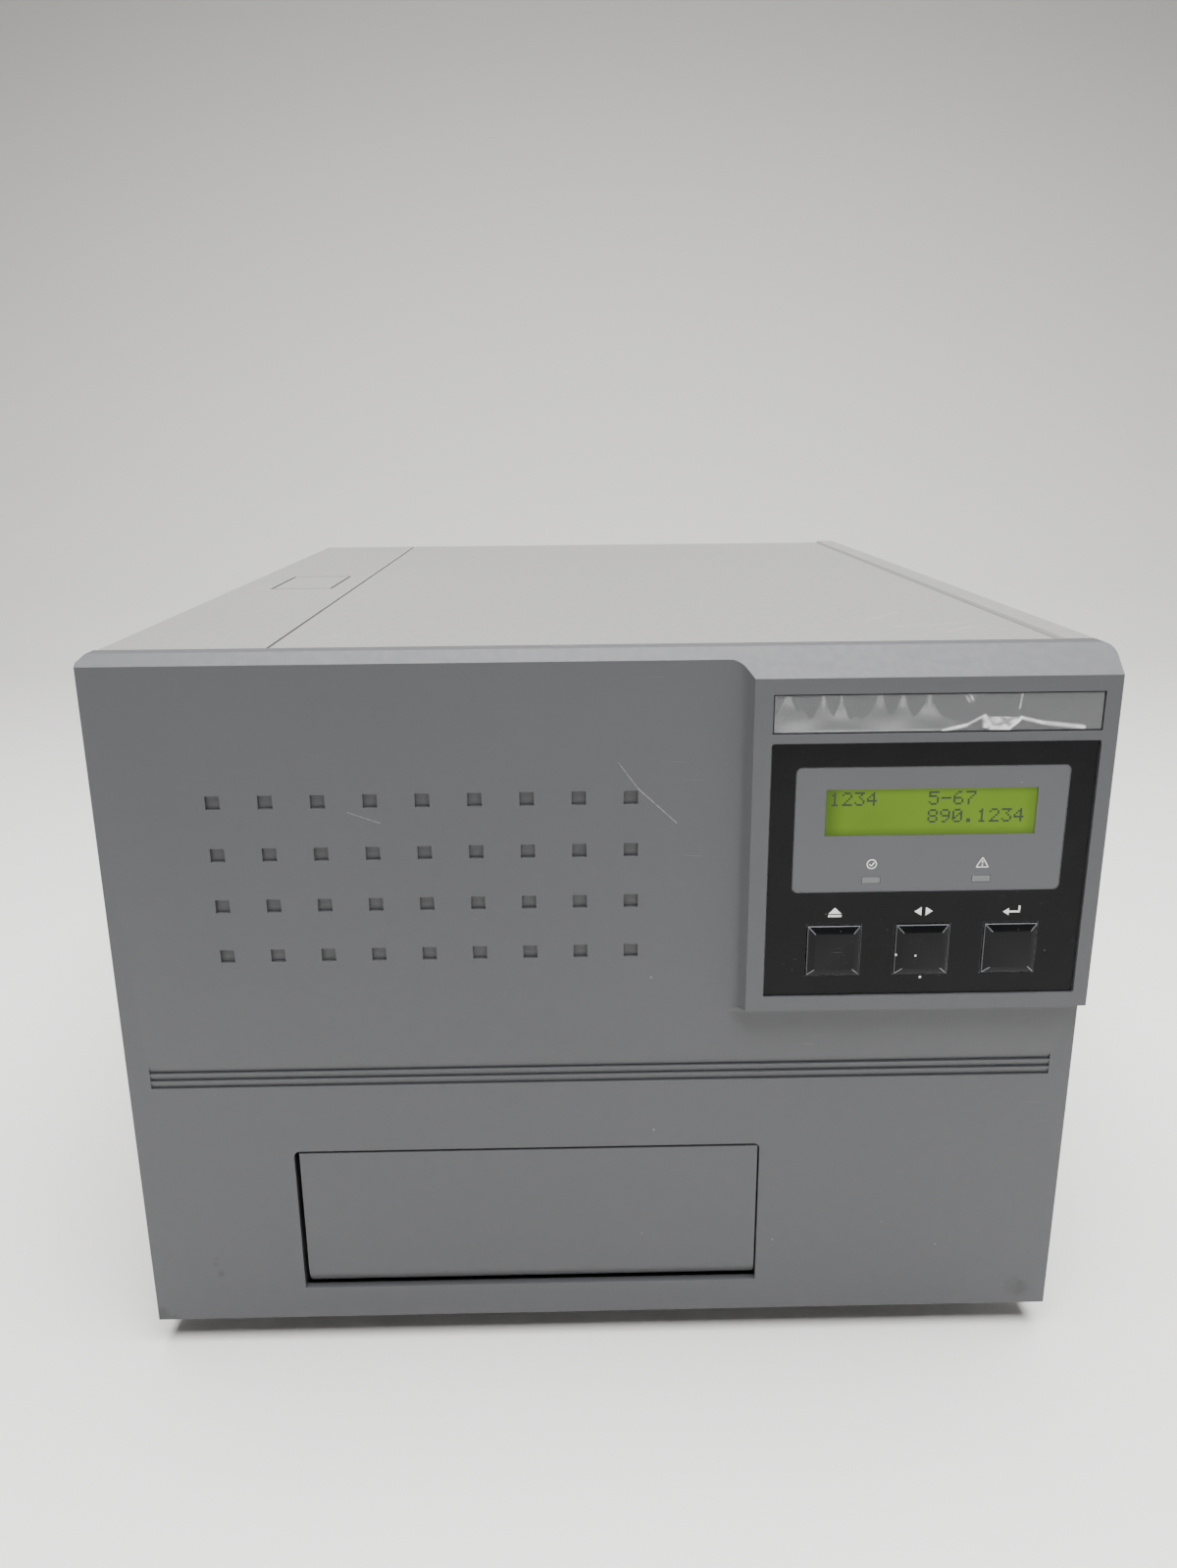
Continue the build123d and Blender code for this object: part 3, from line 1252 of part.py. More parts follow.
spring_floor = cup_bottom + LATCH_CUP_WALL
spring_height = door_top - CASE_WALL - spring_floor
spring_y = hook_y - LATCH_LENGTH / 4
spring_x = (latch_left + hook_left) / 2
coil_height = spring_height - LATCH_SPRING_WIRE
with BuildPart() as latch_spring:
    with BuildLine(Plane((spring_x, spring_y, spring_floor + LATCH_SPRING_WIRE / 2))) as coil:
        Helix(coil_height / LATCH_SPRING_TURNS, coil_height, LATCH_SPRING_RADIUS)
    with BuildSketch(Plane(origin=coil.line @ 0, z_dir=coil.line % 0)):
        Circle(LATCH_SPRING_WIRE / 2 - FIT)
    sweep()
latch_spring.part.label = "latch_spring"
export_step(latch_spring.part, "parts/latch_spring.step")

# ---- right cover, top panel and rear panel ----
border_left = right - BORDER_WIDTH
supply_back = rear_panel_y - SUPPLY_REAR_GAP
supply_front = supply_back - SUPPLY_LENGTH
supply_y = (supply_front + supply_back) / 2
with BuildPart() as right_cover:
    with BuildSketch(Plane.XZ.offset(-cover_front)) as cover_section:
        with BuildLine():
            Polyline(
                (right - CASE_WALL, base_z),
                (right, base_z),
                (right, top_z),
                (border_left + BORDER_COVE, top_z),
                (border_left, panel_z),
                (border_left, top_z - BEZEL_TOP_WALL),
                (right - CASE_WALL, top_z - BEZEL_TOP_WALL),
                close=True,
            )
        make_face()
        fillet(cover_section.vertices().sort_by_distance((right, top_z))[0], BORDER_RADIUS)
    extrude(amount=-(rear_y - cover_front))
    # Vent slots low on the wall, behind the power supply.
    with BuildSketch(Plane.YZ.offset(right)):
        with Locations((supply_y, base_z + SUPPLY_HEIGHT / 2)):
            with GridLocations(VENT_PITCH, 1, VENT_COUNT, 1):
                SlotOverall(VENT_HEIGHT, VENT_WIDTH, rotation=90)
    extrude(amount=-CASE_WALL, mode=Mode.SUBTRACT)
right_cover.part.label = "right_cover"
export_step(right_cover.part, "parts/right_cover.step")

panel_left = left + STRIP_WIDTH + COVER_GAP / 2
top_flange_y = rear_panel_y - SHEET
with BuildPart() as top_panel:
    block(
        (panel_left, cover_front, panel_z - CASE_WALL),
        (border_left - FIT, rear_y, panel_z),
    )
    block(
        (panel_left, top_flange_y, panel_z - PAN_RIM),
        (border_left - FIT, rear_panel_y, panel_z - CASE_WALL),
    )
top_panel.part.label = "top_panel"
export_step(top_panel.part, "parts/top_panel.step")

# The frames stop under the top panel; a folded rail lies on each and carries the panel.
panel_under_z = panel_z - CASE_WALL
left_web_x = frame_left_x + TOP_RAIL_WIDTH
right_web_x = frame_right_x + SHEET - TOP_RAIL_WIDTH
with BuildPart() as top_rails:
    for web_x, outer_x, upper_x in (
        (left_web_x, frame_left_x, panel_left),
        (right_web_x, frame_right_x + SHEET, frame_right_x + SHEET),
    ):
        block(
            (min(web_x, outer_x), frame_front, frame_top),
            (max(web_x, outer_x), frame_back, frame_top + SHEET),
        )
        block(
            (min(web_x, upper_x), frame_front, panel_under_z - SHEET),
            (max(web_x, upper_x), frame_back, panel_under_z),
        )
        web_left = min(web_x, web_x + SHEET * (1 if outer_x > web_x else -1))
        block((web_left, frame_front, frame_top), (web_left + SHEET, frame_back, panel_under_z))
top_rails.part.label = "top_rails"
export_step(top_rails.part, "parts/top_rails.step")

fan_x = (bay_left + bay_right) / 2
fan_size = bay_right - bay_left - 2 * FAN_SIDE_GAP
fan_z = base_z + FAN_RISE
switch_x = bay_left + SWITCH_SIDE_GAP
inlet_x = switch_x + INLET_PITCH
inlet_z = base_z + INLET_RISE
door_sweep = (DOOR_HINGE_X**2 + DOOR_LUG_RADIUS**2) ** 0.5 + COVER_GAP
port_x = left + PORT_X
port_z = base_z + PORT_RISE
with BuildPart() as rear_panel:
    block(
        (left + CASE_WALL + COVER_GAP, rear_panel_y, base_z),
        (pan_right, rear_panel_y + SHEET, base_z + REAR_PANEL_HEIGHT),
    )
    with BuildSketch(Plane.XZ.offset(-rear_panel_y)):
        with Locations((fan_x, fan_z)):
            with GridLocations(fan_size / (FAN_SLOTS + 1), FAN_SLOT_HEIGHT + CASE_WALL, FAN_SLOTS, 3):
                SlotOverall(FAN_SLOT_HEIGHT, VENT_WIDTH, rotation=90)
        with Locations((port_x, fan_z)):
            with GridLocations(VENT_PITCH, VENT_HEIGHT, VENT_COUNT, 2):
                SlotOverall(VENT_HEIGHT - VENT_PITCH, VENT_WIDTH, rotation=90)
        with Locations((inlet_x, inlet_z)):
            Rectangle(INLET_WIDTH, INLET_HEIGHT)
        with Locations((switch_x, inlet_z)):
            Rectangle(SWITCH_WIDTH, SWITCH_TALL)
        with Locations((port_x, port_z)):
            Rectangle(PORT_WIDTH, PORT_HEIGHT)
        # The door's lower edge turns through this corner.
        with Locations((hinge_x, hinge_z)):
            Circle(door_sweep)
    extrude(amount=-SHEET, mode=Mode.SUBTRACT)
rear_panel.part.label = "rear_panel"
export_step(rear_panel.part, "parts/rear_panel.step")

# ---- fan ----
fan_front_y = rear_panel_y - FAN_DEPTH
fan_duct = fan_size / 2 - CASE_WALL
fan_mid_y = fan_front_y + FAN_DEPTH / 2
with BuildPart() as fan_frame:
    block(
        (fan_x - fan_size / 2, fan_front_y, fan_z - fan_size / 2),
        (fan_x + fan_size / 2, rear_panel_y, fan_z + fan_size / 2),
    )
    rod((fan_x, fan_front_y, fan_z), (0, 1, 0), fan_duct, FAN_DEPTH, mode=Mode.SUBTRACT)
    rod((fan_x, rear_panel_y - FLANGE, fan_z), (0, 1, 0), FAN_HUB_RADIUS, FLANGE)
    for strut in (0, 1):
        reach = fan_duct + COVER_GAP
        half = CASE_WALL / 2
        across = (reach, half) if strut else (half, reach)
        block(
            (fan_x - across[0], rear_panel_y - FLANGE, fan_z - across[1]),
            (fan_x + across[0], rear_panel_y, fan_z + across[1]),
        )
    rod((fan_x, fan_mid_y, fan_z), (0, 1, 0), GEAR_AXLE_RADIUS, FAN_DEPTH / 2 - FLANGE)
fan_frame.part.label = "fan_frame"
export_step(fan_frame.part, "parts/fan_frame.step")

rotor_depth = FAN_DEPTH - FLANGE - 2 * COVER_GAP
pitch_sine = sin(radians(FAN_BLADE_ANGLE))
pitch_cosine = cos(radians(FAN_BLADE_ANGLE))
with BuildPart() as fan_rotor:
    rod((fan_x, fan_front_y + COVER_GAP, fan_z), (0, 1, 0), FAN_HUB_RADIUS, rotor_depth)
    for blade in range(FAN_BLADES):
        angle = radians(360 * blade / FAN_BLADES)
        blade_plane = Plane(
            origin=(fan_x, fan_front_y + COVER_GAP + rotor_depth / 2, fan_z),
            x_dir=(-sin(angle) * pitch_sine, pitch_cosine, cos(angle) * pitch_sine),
            z_dir=(cos(angle), 0, sin(angle)),
        )
        with BuildSketch(blade_plane.offset(FAN_HUB_RADIUS - CASE_WALL)) as root:
            Rectangle(rotor_depth, SHEET)
        extrude(root.sketch, amount=fan_duct - FAN_BLADE_GAP - FAN_HUB_RADIUS)
    rod(
        (fan_x, fan_mid_y - COVER_GAP, fan_z),
        (0, 1, 0),
        GEAR_AXLE_RADIUS + FIT,
        FAN_DEPTH,
        mode=Mode.SUBTRACT,
    )
fan_rotor.part.label = "fan_rotor"
export_step(fan_rotor.part, "parts/fan_rotor.step")

# ---- inlet, power switch and data port ----
panel_back = rear_panel_y + SHEET
with BuildPart() as mains_inlet:
    block(
        (inlet_x - INLET_WIDTH / 2 + FIT, panel_back - INLET_DEPTH, inlet_z - INLET_HEIGHT / 2 + FIT),
        (inlet_x + INLET_WIDTH / 2 - FIT, panel_back, inlet_z + INLET_HEIGHT / 2 - FIT),
    )
    block(
        (inlet_x - INLET_WIDTH / 2 - FLANGE_RIM, panel_back, inlet_z - INLET_HEIGHT / 2 - FLANGE_RIM),
        (
            inlet_x + INLET_WIDTH / 2 + FLANGE_RIM,
            panel_back + FLANGE,
            inlet_z + INLET_HEIGHT / 2 + FLANGE_RIM,
        ),
    )
    block(
        (
            inlet_x - INLET_WIDTH / 2 + FLANGE,
            panel_back - INLET_DEPTH + FLANGE,
            inlet_z - INLET_HEIGHT / 2 + FLANGE,
        ),
        (inlet_x + INLET_WIDTH / 2 - FLANGE, panel_back + FLANGE, inlet_z + INLET_HEIGHT / 2 - FLANGE),
        mode=Mode.SUBTRACT,
    )
    for side in (-1, 0, 1):
        blade_x = inlet_x + side * BLADE_SPREAD
        blade_z = inlet_z + (BLADE_STEP if side == 0 else -BLADE_STEP)
        block(
            (blade_x - BLADE_WIDTH / 2, panel_back - INLET_DEPTH + FLANGE, blade_z - BLADE_HEIGHT / 2),
            (blade_x + BLADE_WIDTH / 2, panel_back - FLANGE, blade_z + BLADE_HEIGHT / 2),
        )
mains_inlet.part.label = "mains_inlet"
export_step(mains_inlet.part, "parts/mains_inlet.step")

rocker_y = panel_back - ROCKER_TRAVEL_RADIUS
with BuildPart() as switch_housing:
    block(
        (switch_x - SWITCH_WIDTH / 2 + FIT, panel_back - SWITCH_DEPTH, inlet_z - SWITCH_TALL / 2 + FIT),
        (switch_x + SWITCH_WIDTH / 2 - FIT, panel_back, inlet_z + SWITCH_TALL / 2 - FIT),
    )
    block(
        (switch_x - SWITCH_WIDTH / 2 - SWITCH_RIM, panel_back, inlet_z - SWITCH_TALL / 2 - SWITCH_RIM),
        (
            switch_x + SWITCH_WIDTH / 2 + SWITCH_RIM,
            panel_back + SWITCH_RIM,
            inlet_z + SWITCH_TALL / 2 + SWITCH_RIM,
        ),
    )
    block(
        (
            switch_x - SWITCH_WIDTH / 2 + SWITCH_RIM,
            panel_back - SWITCH_DEPTH / 2,
            inlet_z - SWITCH_TALL / 2 + SWITCH_RIM,
        ),
        (
            switch_x + SWITCH_WIDTH / 2 - SWITCH_RIM,
            panel_back + SWITCH_RIM,
            inlet_z + SWITCH_TALL / 2 - SWITCH_RIM,
        ),
        mode=Mode.SUBTRACT,
    )
    rod(
        (switch_x - SWITCH_WIDTH / 2 + FIT, rocker_y, inlet_z),
        (1, 0, 0),
        GEAR_AXLE_RADIUS / 2,
        SWITCH_WIDTH - 2 * FIT,
    )
switch_housing.part.label = "switch_housing"
export_step(switch_housing.part, "parts/switch_housing.step")

# The rocker's face is two flats that meet over its pin, so one half is always pressed in.
rocker_half = SWITCH_TALL / 2 - SWITCH_RIM - 3 * COVER_GAP
rocker_face = ROCKER_TRAVEL_RADIUS + SWITCH_RIM
with BuildPart() as switch_rocker:
    with BuildSketch(Plane.YZ.offset(switch_x - SWITCH_WIDTH / 2 + SWITCH_RIM + FIT)):
        with BuildLine():
            Polyline(
                (rocker_y - ROCKER_TRAVEL_RADIUS, inlet_z),
                (rocker_y, inlet_z - rocker_half),
                (rocker_y + FLANGE, inlet_z - rocker_half),
                (rocker_y + ROCKER_TRAVEL_RADIUS, inlet_z),
                (rocker_y + rocker_face, inlet_z + rocker_half),
                (rocker_y, inlet_z + rocker_half),
                close=True,
            )
        make_face()
        with Locations((rocker_y, inlet_z)):
            Circle(GEAR_AXLE_RADIUS / 2 + FIT, mode=Mode.SUBTRACT)
    extrude(amount=SWITCH_WIDTH - 2 * SWITCH_RIM - 2 * FIT)
switch_rocker.part.label = "switch_rocker"
export_step(switch_rocker.part, "parts/switch_rocker.step")

with BuildPart() as data_port:
    block(
        (port_x - PORT_WIDTH / 2 + FIT, panel_back - PORT_DEPTH, port_z - PORT_HEIGHT / 2 + FIT),
        (port_x + PORT_WIDTH / 2 - FIT, panel_back + FLANGE, port_z + PORT_HEIGHT / 2 - FIT),
    )
    block(
        (port_x - PORT_WIDTH / 2 + SHEET, panel_back - PORT_DEPTH / 2, port_z - PORT_HEIGHT / 2 + SHEET),
        (port_x + PORT_WIDTH / 2 - SHEET, panel_back + FLANGE, port_z + PORT_HEIGHT / 2 - SHEET),
        mode=Mode.SUBTRACT,
    )
data_port.part.label = "data_port"
export_step(data_port.part, "parts/data_port.step")

# ---- power supply and main board ----
supply_left = bay_left + SUPPLY_SIDE_GAP
supply_right = bay_right - SUPPLY_SIDE_GAP
with BuildPart() as power_supply:
    block(
        (supply_left, supply_front, pan_z),
        (supply_right, supply_back, pan_z + SUPPLY_HEIGHT),
    )
    with BuildSketch(Plane.YZ.offset(supply_left)):
        with Locations((supply_y, pan_z + SUPPLY_HEIGHT / 2)):
            with GridLocations(VENT_PITCH, 1, VENT_COUNT, 1):
                SlotOverall(VENT_HEIGHT, VENT_WIDTH, rotation=90)
    extrude(amount=SHEET, mode=Mode.SUBTRACT)
power_supply.part.label = "power_supply"
export_step(power_supply.part, "parts/power_supply.step")

board_x = bay_left + STANDOFF
with BuildPart() as main_board:
    board_front, board_back = (face_y + back for back in MAIN_BOARD_BACKS)
    board_low, board_high = (base_z + rise for rise in MAIN_BOARD_RISES)
    block((board_x, board_front, board_low), (board_x + BOARD, board_back, board_high))
    for corner_y in (board_front + STANDOFF, board_back - STANDOFF):
        for corner_z in (board_low + STANDOFF, board_high - STANDOFF):
            rod((board_x, corner_y, corner_z), (-1, 0, 0), BOSS_RADIUS, STANDOFF)
    # Connectors along the front edge, a processor, memory chips and a row of capacitors.
    for index in range(CONNECTOR_COUNT):
        low = board_low + STANDOFF + index * 3 * STANDOFF
        block(
            (board_x + BOARD, board_front + SHEET, low),
            (board_x + BOARD + STANDOFF, board_front + SHEET + STANDOFF, low + 2 * STANDOFF),
        )
    chip_y = (board_front + board_back) / 2
    chip_z = (board_low + board_high) / 2
    block(
        (board_x + BOARD, chip_y - 2 * STANDOFF, chip_z - 2 * STANDOFF),
        (board_x + BOARD + FLANGE, chip_y + 2 * STANDOFF, chip_z + 2 * STANDOFF),
    )
    for index in range(CAPACITOR_COUNT):
        can_z = board_low + STANDOFF + index * 3 * STANDOFF
        rod(
            (board_x + BOARD, board_back - 3 * STANDOFF, can_z),
            (1, 0, 0),
            STANDOFF / 2,
            2 * STANDOFF,
        )
main_board.part.label = "main_board"
export_step(main_board.part, "parts/main_board.step")

# ---- screws of the rear panel ----
screw_places = [
    (x, base_z + rise)
    for x in (left + PAN_LEFT + SCREW_INSET, port_x, fan_x, right - SCREW_INSET)
    for rise in (SCREW_INSET / 2, REAR_PANEL_HEIGHT - SCREW_INSET / 2)
]
with BuildPart() as rear_screws:
    for screw_x, screw_z in screw_places:
        rod((screw_x, panel_back, screw_z), (0, 1, 0), SCREW_HEAD_RADIUS, SCREW_HEAD)
        with BuildSketch(Plane.XZ.offset(-panel_back - SCREW_HEAD)):
            with Locations((screw_x, screw_z)):
                Rectangle(SCREW_HEAD_RADIUS + SCREW_RADIUS, SCREW_HEAD / 3)
                Rectangle(SCREW_HEAD / 3, SCREW_HEAD_RADIUS + SCREW_RADIUS)
        extrude(amount=SCREW_HEAD / 2, mode=Mode.SUBTRACT)
rear_screws.part.label = "rear_screws"
export_step(rear_screws.part, "parts/rear_screws.step")
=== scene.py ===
"""Looks of a grey desktop disc label printer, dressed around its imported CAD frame.

Row frame, metres: X to the right seen from the front, -Y towards the user, Z up from the table.
Sizes that a person would measure are given in millimetres and multiplied by MM.
"""

import json
import logging
import math
from dataclasses import dataclass
from enum import Enum
from typing import Any, Callable, Iterable, Sequence

import bmesh
import bpy
import numpy as np
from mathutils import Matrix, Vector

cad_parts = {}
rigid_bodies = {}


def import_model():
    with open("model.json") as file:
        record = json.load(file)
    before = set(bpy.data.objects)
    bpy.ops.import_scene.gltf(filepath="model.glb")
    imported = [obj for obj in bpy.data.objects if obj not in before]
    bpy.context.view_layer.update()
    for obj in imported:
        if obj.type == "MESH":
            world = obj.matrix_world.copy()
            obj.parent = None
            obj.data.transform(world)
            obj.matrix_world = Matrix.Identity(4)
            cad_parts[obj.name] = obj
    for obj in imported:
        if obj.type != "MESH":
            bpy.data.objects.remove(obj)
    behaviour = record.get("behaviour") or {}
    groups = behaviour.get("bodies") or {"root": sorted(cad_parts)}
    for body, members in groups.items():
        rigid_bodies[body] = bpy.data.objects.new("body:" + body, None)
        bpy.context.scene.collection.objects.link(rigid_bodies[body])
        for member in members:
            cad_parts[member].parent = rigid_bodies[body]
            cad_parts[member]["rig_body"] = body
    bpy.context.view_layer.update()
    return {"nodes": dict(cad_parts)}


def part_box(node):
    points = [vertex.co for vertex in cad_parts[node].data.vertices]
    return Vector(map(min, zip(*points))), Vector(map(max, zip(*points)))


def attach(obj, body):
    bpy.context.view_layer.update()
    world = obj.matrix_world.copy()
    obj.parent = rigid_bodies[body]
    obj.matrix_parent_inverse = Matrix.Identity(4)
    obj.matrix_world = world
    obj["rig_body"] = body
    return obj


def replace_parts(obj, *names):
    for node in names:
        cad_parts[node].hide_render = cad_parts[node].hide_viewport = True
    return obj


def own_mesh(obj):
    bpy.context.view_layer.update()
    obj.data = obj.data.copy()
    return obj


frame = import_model()

MM = 0.001
MERGE_WITHIN = 0.002 * MM
FLAT_WITHIN = math.radians(0.4)
ROUNDED_OVER = math.radians(28.0)
CREASED_OVER = math.radians(40.0)
TURNED_CREASE = math.radians(35.0)
ROUNDING_STEPS = 2
ROD_STEPS = 5
TURN_SIDES = 64
ZONE_RIM = 0.02 * MM
MARK_THICKNESS = 0.03 * MM
LOG = logging.getLogger("disc_label_printer")
Colour = tuple[float, float, float]
Point = tuple[float, float, float]
Pair = tuple[float, float]
Material = bpy.types.Material


def times(colour: Colour, factor: float) -> Colour:
    """A colour made lighter or darker by a factor, with no channel over 1."""
    return tuple(min(1.0, channel * factor) for channel in colour)


# ---------------------------------------------------------------- shader maths


def math_node(operation: str, swapped: bool = False) -> Callable[..., "Value"]:
    """Method that adds a Math node; swapped is for a number in front of the operator."""

    def method(value: "Value", other: Any = 0.0) -> "Value":
        """Value of the operation on two values or numbers."""
        first, second = (other, value) if swapped else (value, other)
        return value.shader.node("ShaderNodeMath", {"operation": operation}, {0: first, 1: second})

    return method


class Value:
    """One socket of a node tree, on which arithmetic adds Math nodes."""

    __add__ = math_node("ADD")
    __radd__ = math_node("ADD", swapped=True)
    __sub__ = math_node("SUBTRACT")
    __rsub__ = math_node("SUBTRACT", swapped=True)
    __mul__ = math_node("MULTIPLY")
    __truediv__ = math_node("DIVIDE")
    at_most = math_node("MINIMUM")
    at_least = math_node("MAXIMUM")
    wave = math_node("SINE")

    def __init__(self, shader: "Shader", socket: bpy.types.NodeSocket) -> None:
        """Keep the socket and the shader that it belongs to."""
        self.shader = shader
        self.socket = socket

    def ramp(self, low: float, high: float, start: float = 0.0, end: float = 1.0) -> "Value":
        """Return the value carried smoothly from start, at low or under, to end, at high or over."""
        return self.shader.node(
            "ShaderNodeMapRange",
            {"interpolation_type": "SMOOTHSTEP"},
            {"Value": self, "From Min": low, "From Max": high, "To Min": start, "To Max": end},
        )


class Shader:
    """A material's node tree, built by expressions."""

    def __init__(self, name: str) -> None:
        """Start a material with an output and a principled shader."""
        self.material = bpy.data.materials.new(name)
        self.material.use_nodes = True
        self.tree = self.material.node_tree
        self.tree.nodes.clear()
        self.surface = self.tree.nodes.new("ShaderNodeBsdfPrincipled")
        output = self.tree.nodes.new("ShaderNodeOutputMaterial")
        self.tree.links.new(self.surface.outputs["BSDF"], output.inputs["Surface"])
        coordinates = self.tree.nodes.new("ShaderNodeTexCoord")
        self.place = Value(self, coordinates.outputs["Object"])

    def _fill(self, socket: bpy.types.NodeSocket, given: Any) -> None:
        """Link a value to a socket, or set the socket to a number, colour or vector."""
        if isinstance(given, Value):
            self.tree.links.new(given.socket, socket)
        elif isinstance(given, (tuple, list)) and socket.type == "RGBA" and len(given) == 3:
            socket.default_value = (*given, 1.0)
        else:
            socket.default_value = given

    def node(
        self,
        kind: str,
        settings: dict[str, Any] | None = None,
        inputs: dict[Any, Any] | None = None,
        output: Any = 0,
    ) -> Value:
        """Add a node.

        Args:
            kind: the node's type.
            settings: its properties, set before the sockets.
            inputs: what each named or numbered socket gets.
            output: the name or number of the output wanted.

        Returns:
            The value at that output.
        """
        made = self.tree.nodes.new(kind)
        for key, setting in (settings or {}).items():
            setattr(made, key, setting)
        for key, given in (inputs or {}).items():
            self._fill(made.inputs[key], given)
        return Value(self, made.outputs[output])

    def set(self, **given: Any) -> None:
        """Set sockets of the principled shader; an underscore stands for a space in a name."""
        for key, value in given.items():
            self._fill(self.surface.inputs[key.replace("_", " ")], value)

    def stretched(self, scale: Point, turn: Point = (0.0, 0.0, 0.0)) -> Value:
        """Object coordinates multiplied by a scale per axis, after a turn in degrees."""
        angles = tuple(math.radians(a) for a in turn)
        inputs = {"Vector": self.place, "Rotation": angles, "Scale": scale}
        return self.node("ShaderNodeMapping", None, inputs)

    def noise(
        self, scale: float, detail: float = 2.0, where: Value | None = None, rough: float = 0.5
    ) -> Value:
        """Noise between 0 and 1, with its features about 1 / scale metres apart."""
        inputs = {"Vector": where or self.place, "Scale": scale, "Detail": detail, "Roughness": rough}
        return self.node("ShaderNodeTexNoise", None, inputs)

    def cells(self, scale: float) -> Value:
        """Distance to the points of a scattered pattern, 1 / scale metres apart."""
        inputs = {"Vector": self.place, "Scale": scale}
        return self.node("ShaderNodeTexVoronoi", {"feature": "F1"}, inputs, "Distance")

    def mix(self, share: Any, first: Any, second: Any) -> Value:
        """Colour between two colours, by a share from 0 to 1."""
        return self.node("ShaderNodeMix", {"data_type": "RGBA"}, {0: share, 6: first, 7: second}, 2)

    def vector(self, operation: str, first: Any, second: Any, output: Any = 0) -> Value:
        """Vector Math of two vectors, or of a vector and a number."""
        other = "Scale" if operation == "SCALE" else 1
        inputs = {0: first, other: second}
        return self.node("ShaderNodeVectorMath", {"operation": operation}, inputs, output)

    def axis(self, name: str) -> Value:
        """One object coordinate: X, Y or Z."""
        return self.node("ShaderNodeSeparateXYZ", None, {"Vector": self.place}, name)

    def attribute(self, name: str) -> Value:
        """A number stored on the piece's points."""
        return self.node("ShaderNodeAttribute", {"attribute_name": name}, None, "Fac")

    def bump(self, height: Value, depth_mm: float) -> Value:
        """Normal of a surface whose height varies by depth_mm for a height of 1."""
        inputs = {"Height": height, "Distance": depth_mm * MM, "Strength": 1.0}
        return self.node("ShaderNodeBump", None, inputs)

    def stroke(self, start: Point, end: Point, width_mm: float) -> Value:
        """Mask of a scratch: 1 on the segment from start to end, 0 beyond its width.

        The distance is that of the point from its nearest point on the segment.
        """
        a, b = np.array(start), np.array(end)
        along = b - a
        offset = self.vector("SUBTRACT", self.place, tuple(a))
        share = self.vector("DOT_PRODUCT", offset, tuple(along), "Value") / float(along @ along)
        nearest = self.vector("SCALE", tuple(along), share.at_least(0.0).at_most(1.0))
        distance = self.vector("DISTANCE", offset, nearest, "Value")
        return distance.ramp(0.0, width_mm * MM, 1.0, 0.0)

    def inside(self, low: Point, high: Point) -> Value:
        """Mask of a box: 1 between low and high on every axis, 0 outside."""
        mask: Any = 1.0
        for name, start, end in zip("XYZ", low, high):
            along = self.axis(name)
            after = along.ramp(start - ZONE_RIM, start + ZONE_RIM)
            before = along.ramp(end - ZONE_RIM, end + ZONE_RIM, 1.0, 0.0)
            mask = after * before * mask
        return mask

    def spot(self, centre: Point, inner_mm: float, outer_mm: float) -> Value:
        """Mask of a round mark: 1 inside the inner radius, 0 outside the outer one."""
        distance = self.vector("DISTANCE", self.place, centre, "Value")
        return distance.ramp(inner_mm * MM, outer_mm * MM, 1.0, 0.0)


# ---------------------------------------------------------------- finishes


@dataclass(frozen=True)
class Finish:
    """A named material, whose look each kind paints in its own way."""

    name: str

    def paint(self, shader: Shader) -> None:
        """Set the sockets of the principled shader."""
        raise NotImplementedError

    def make(self) -> Material:
        """Return the painted material."""
        shader = Shader(self.name)
        self.paint(shader)
        return shader.material


@dataclass(frozen=True)
class Scratch:
    """A thin mark on a surface, from one point to another."""

    start: Point
    end: Point
    width_mm: float = 0.35
    strength: float = 0.5


@dataclass(frozen=True)
class Spot:
    """A round mark, such as a chip or a smudge."""

    centre: Point
    radius_mm: float
    soft_mm: float
    strength: float

    def mask(self, shader: Shader) -> Value:
        """Mask of the mark: 1 on it, 0 beyond its soft rim."""
        return shader.spot(self.centre, self.radius_mm, self.radius_mm + self.soft_mm)


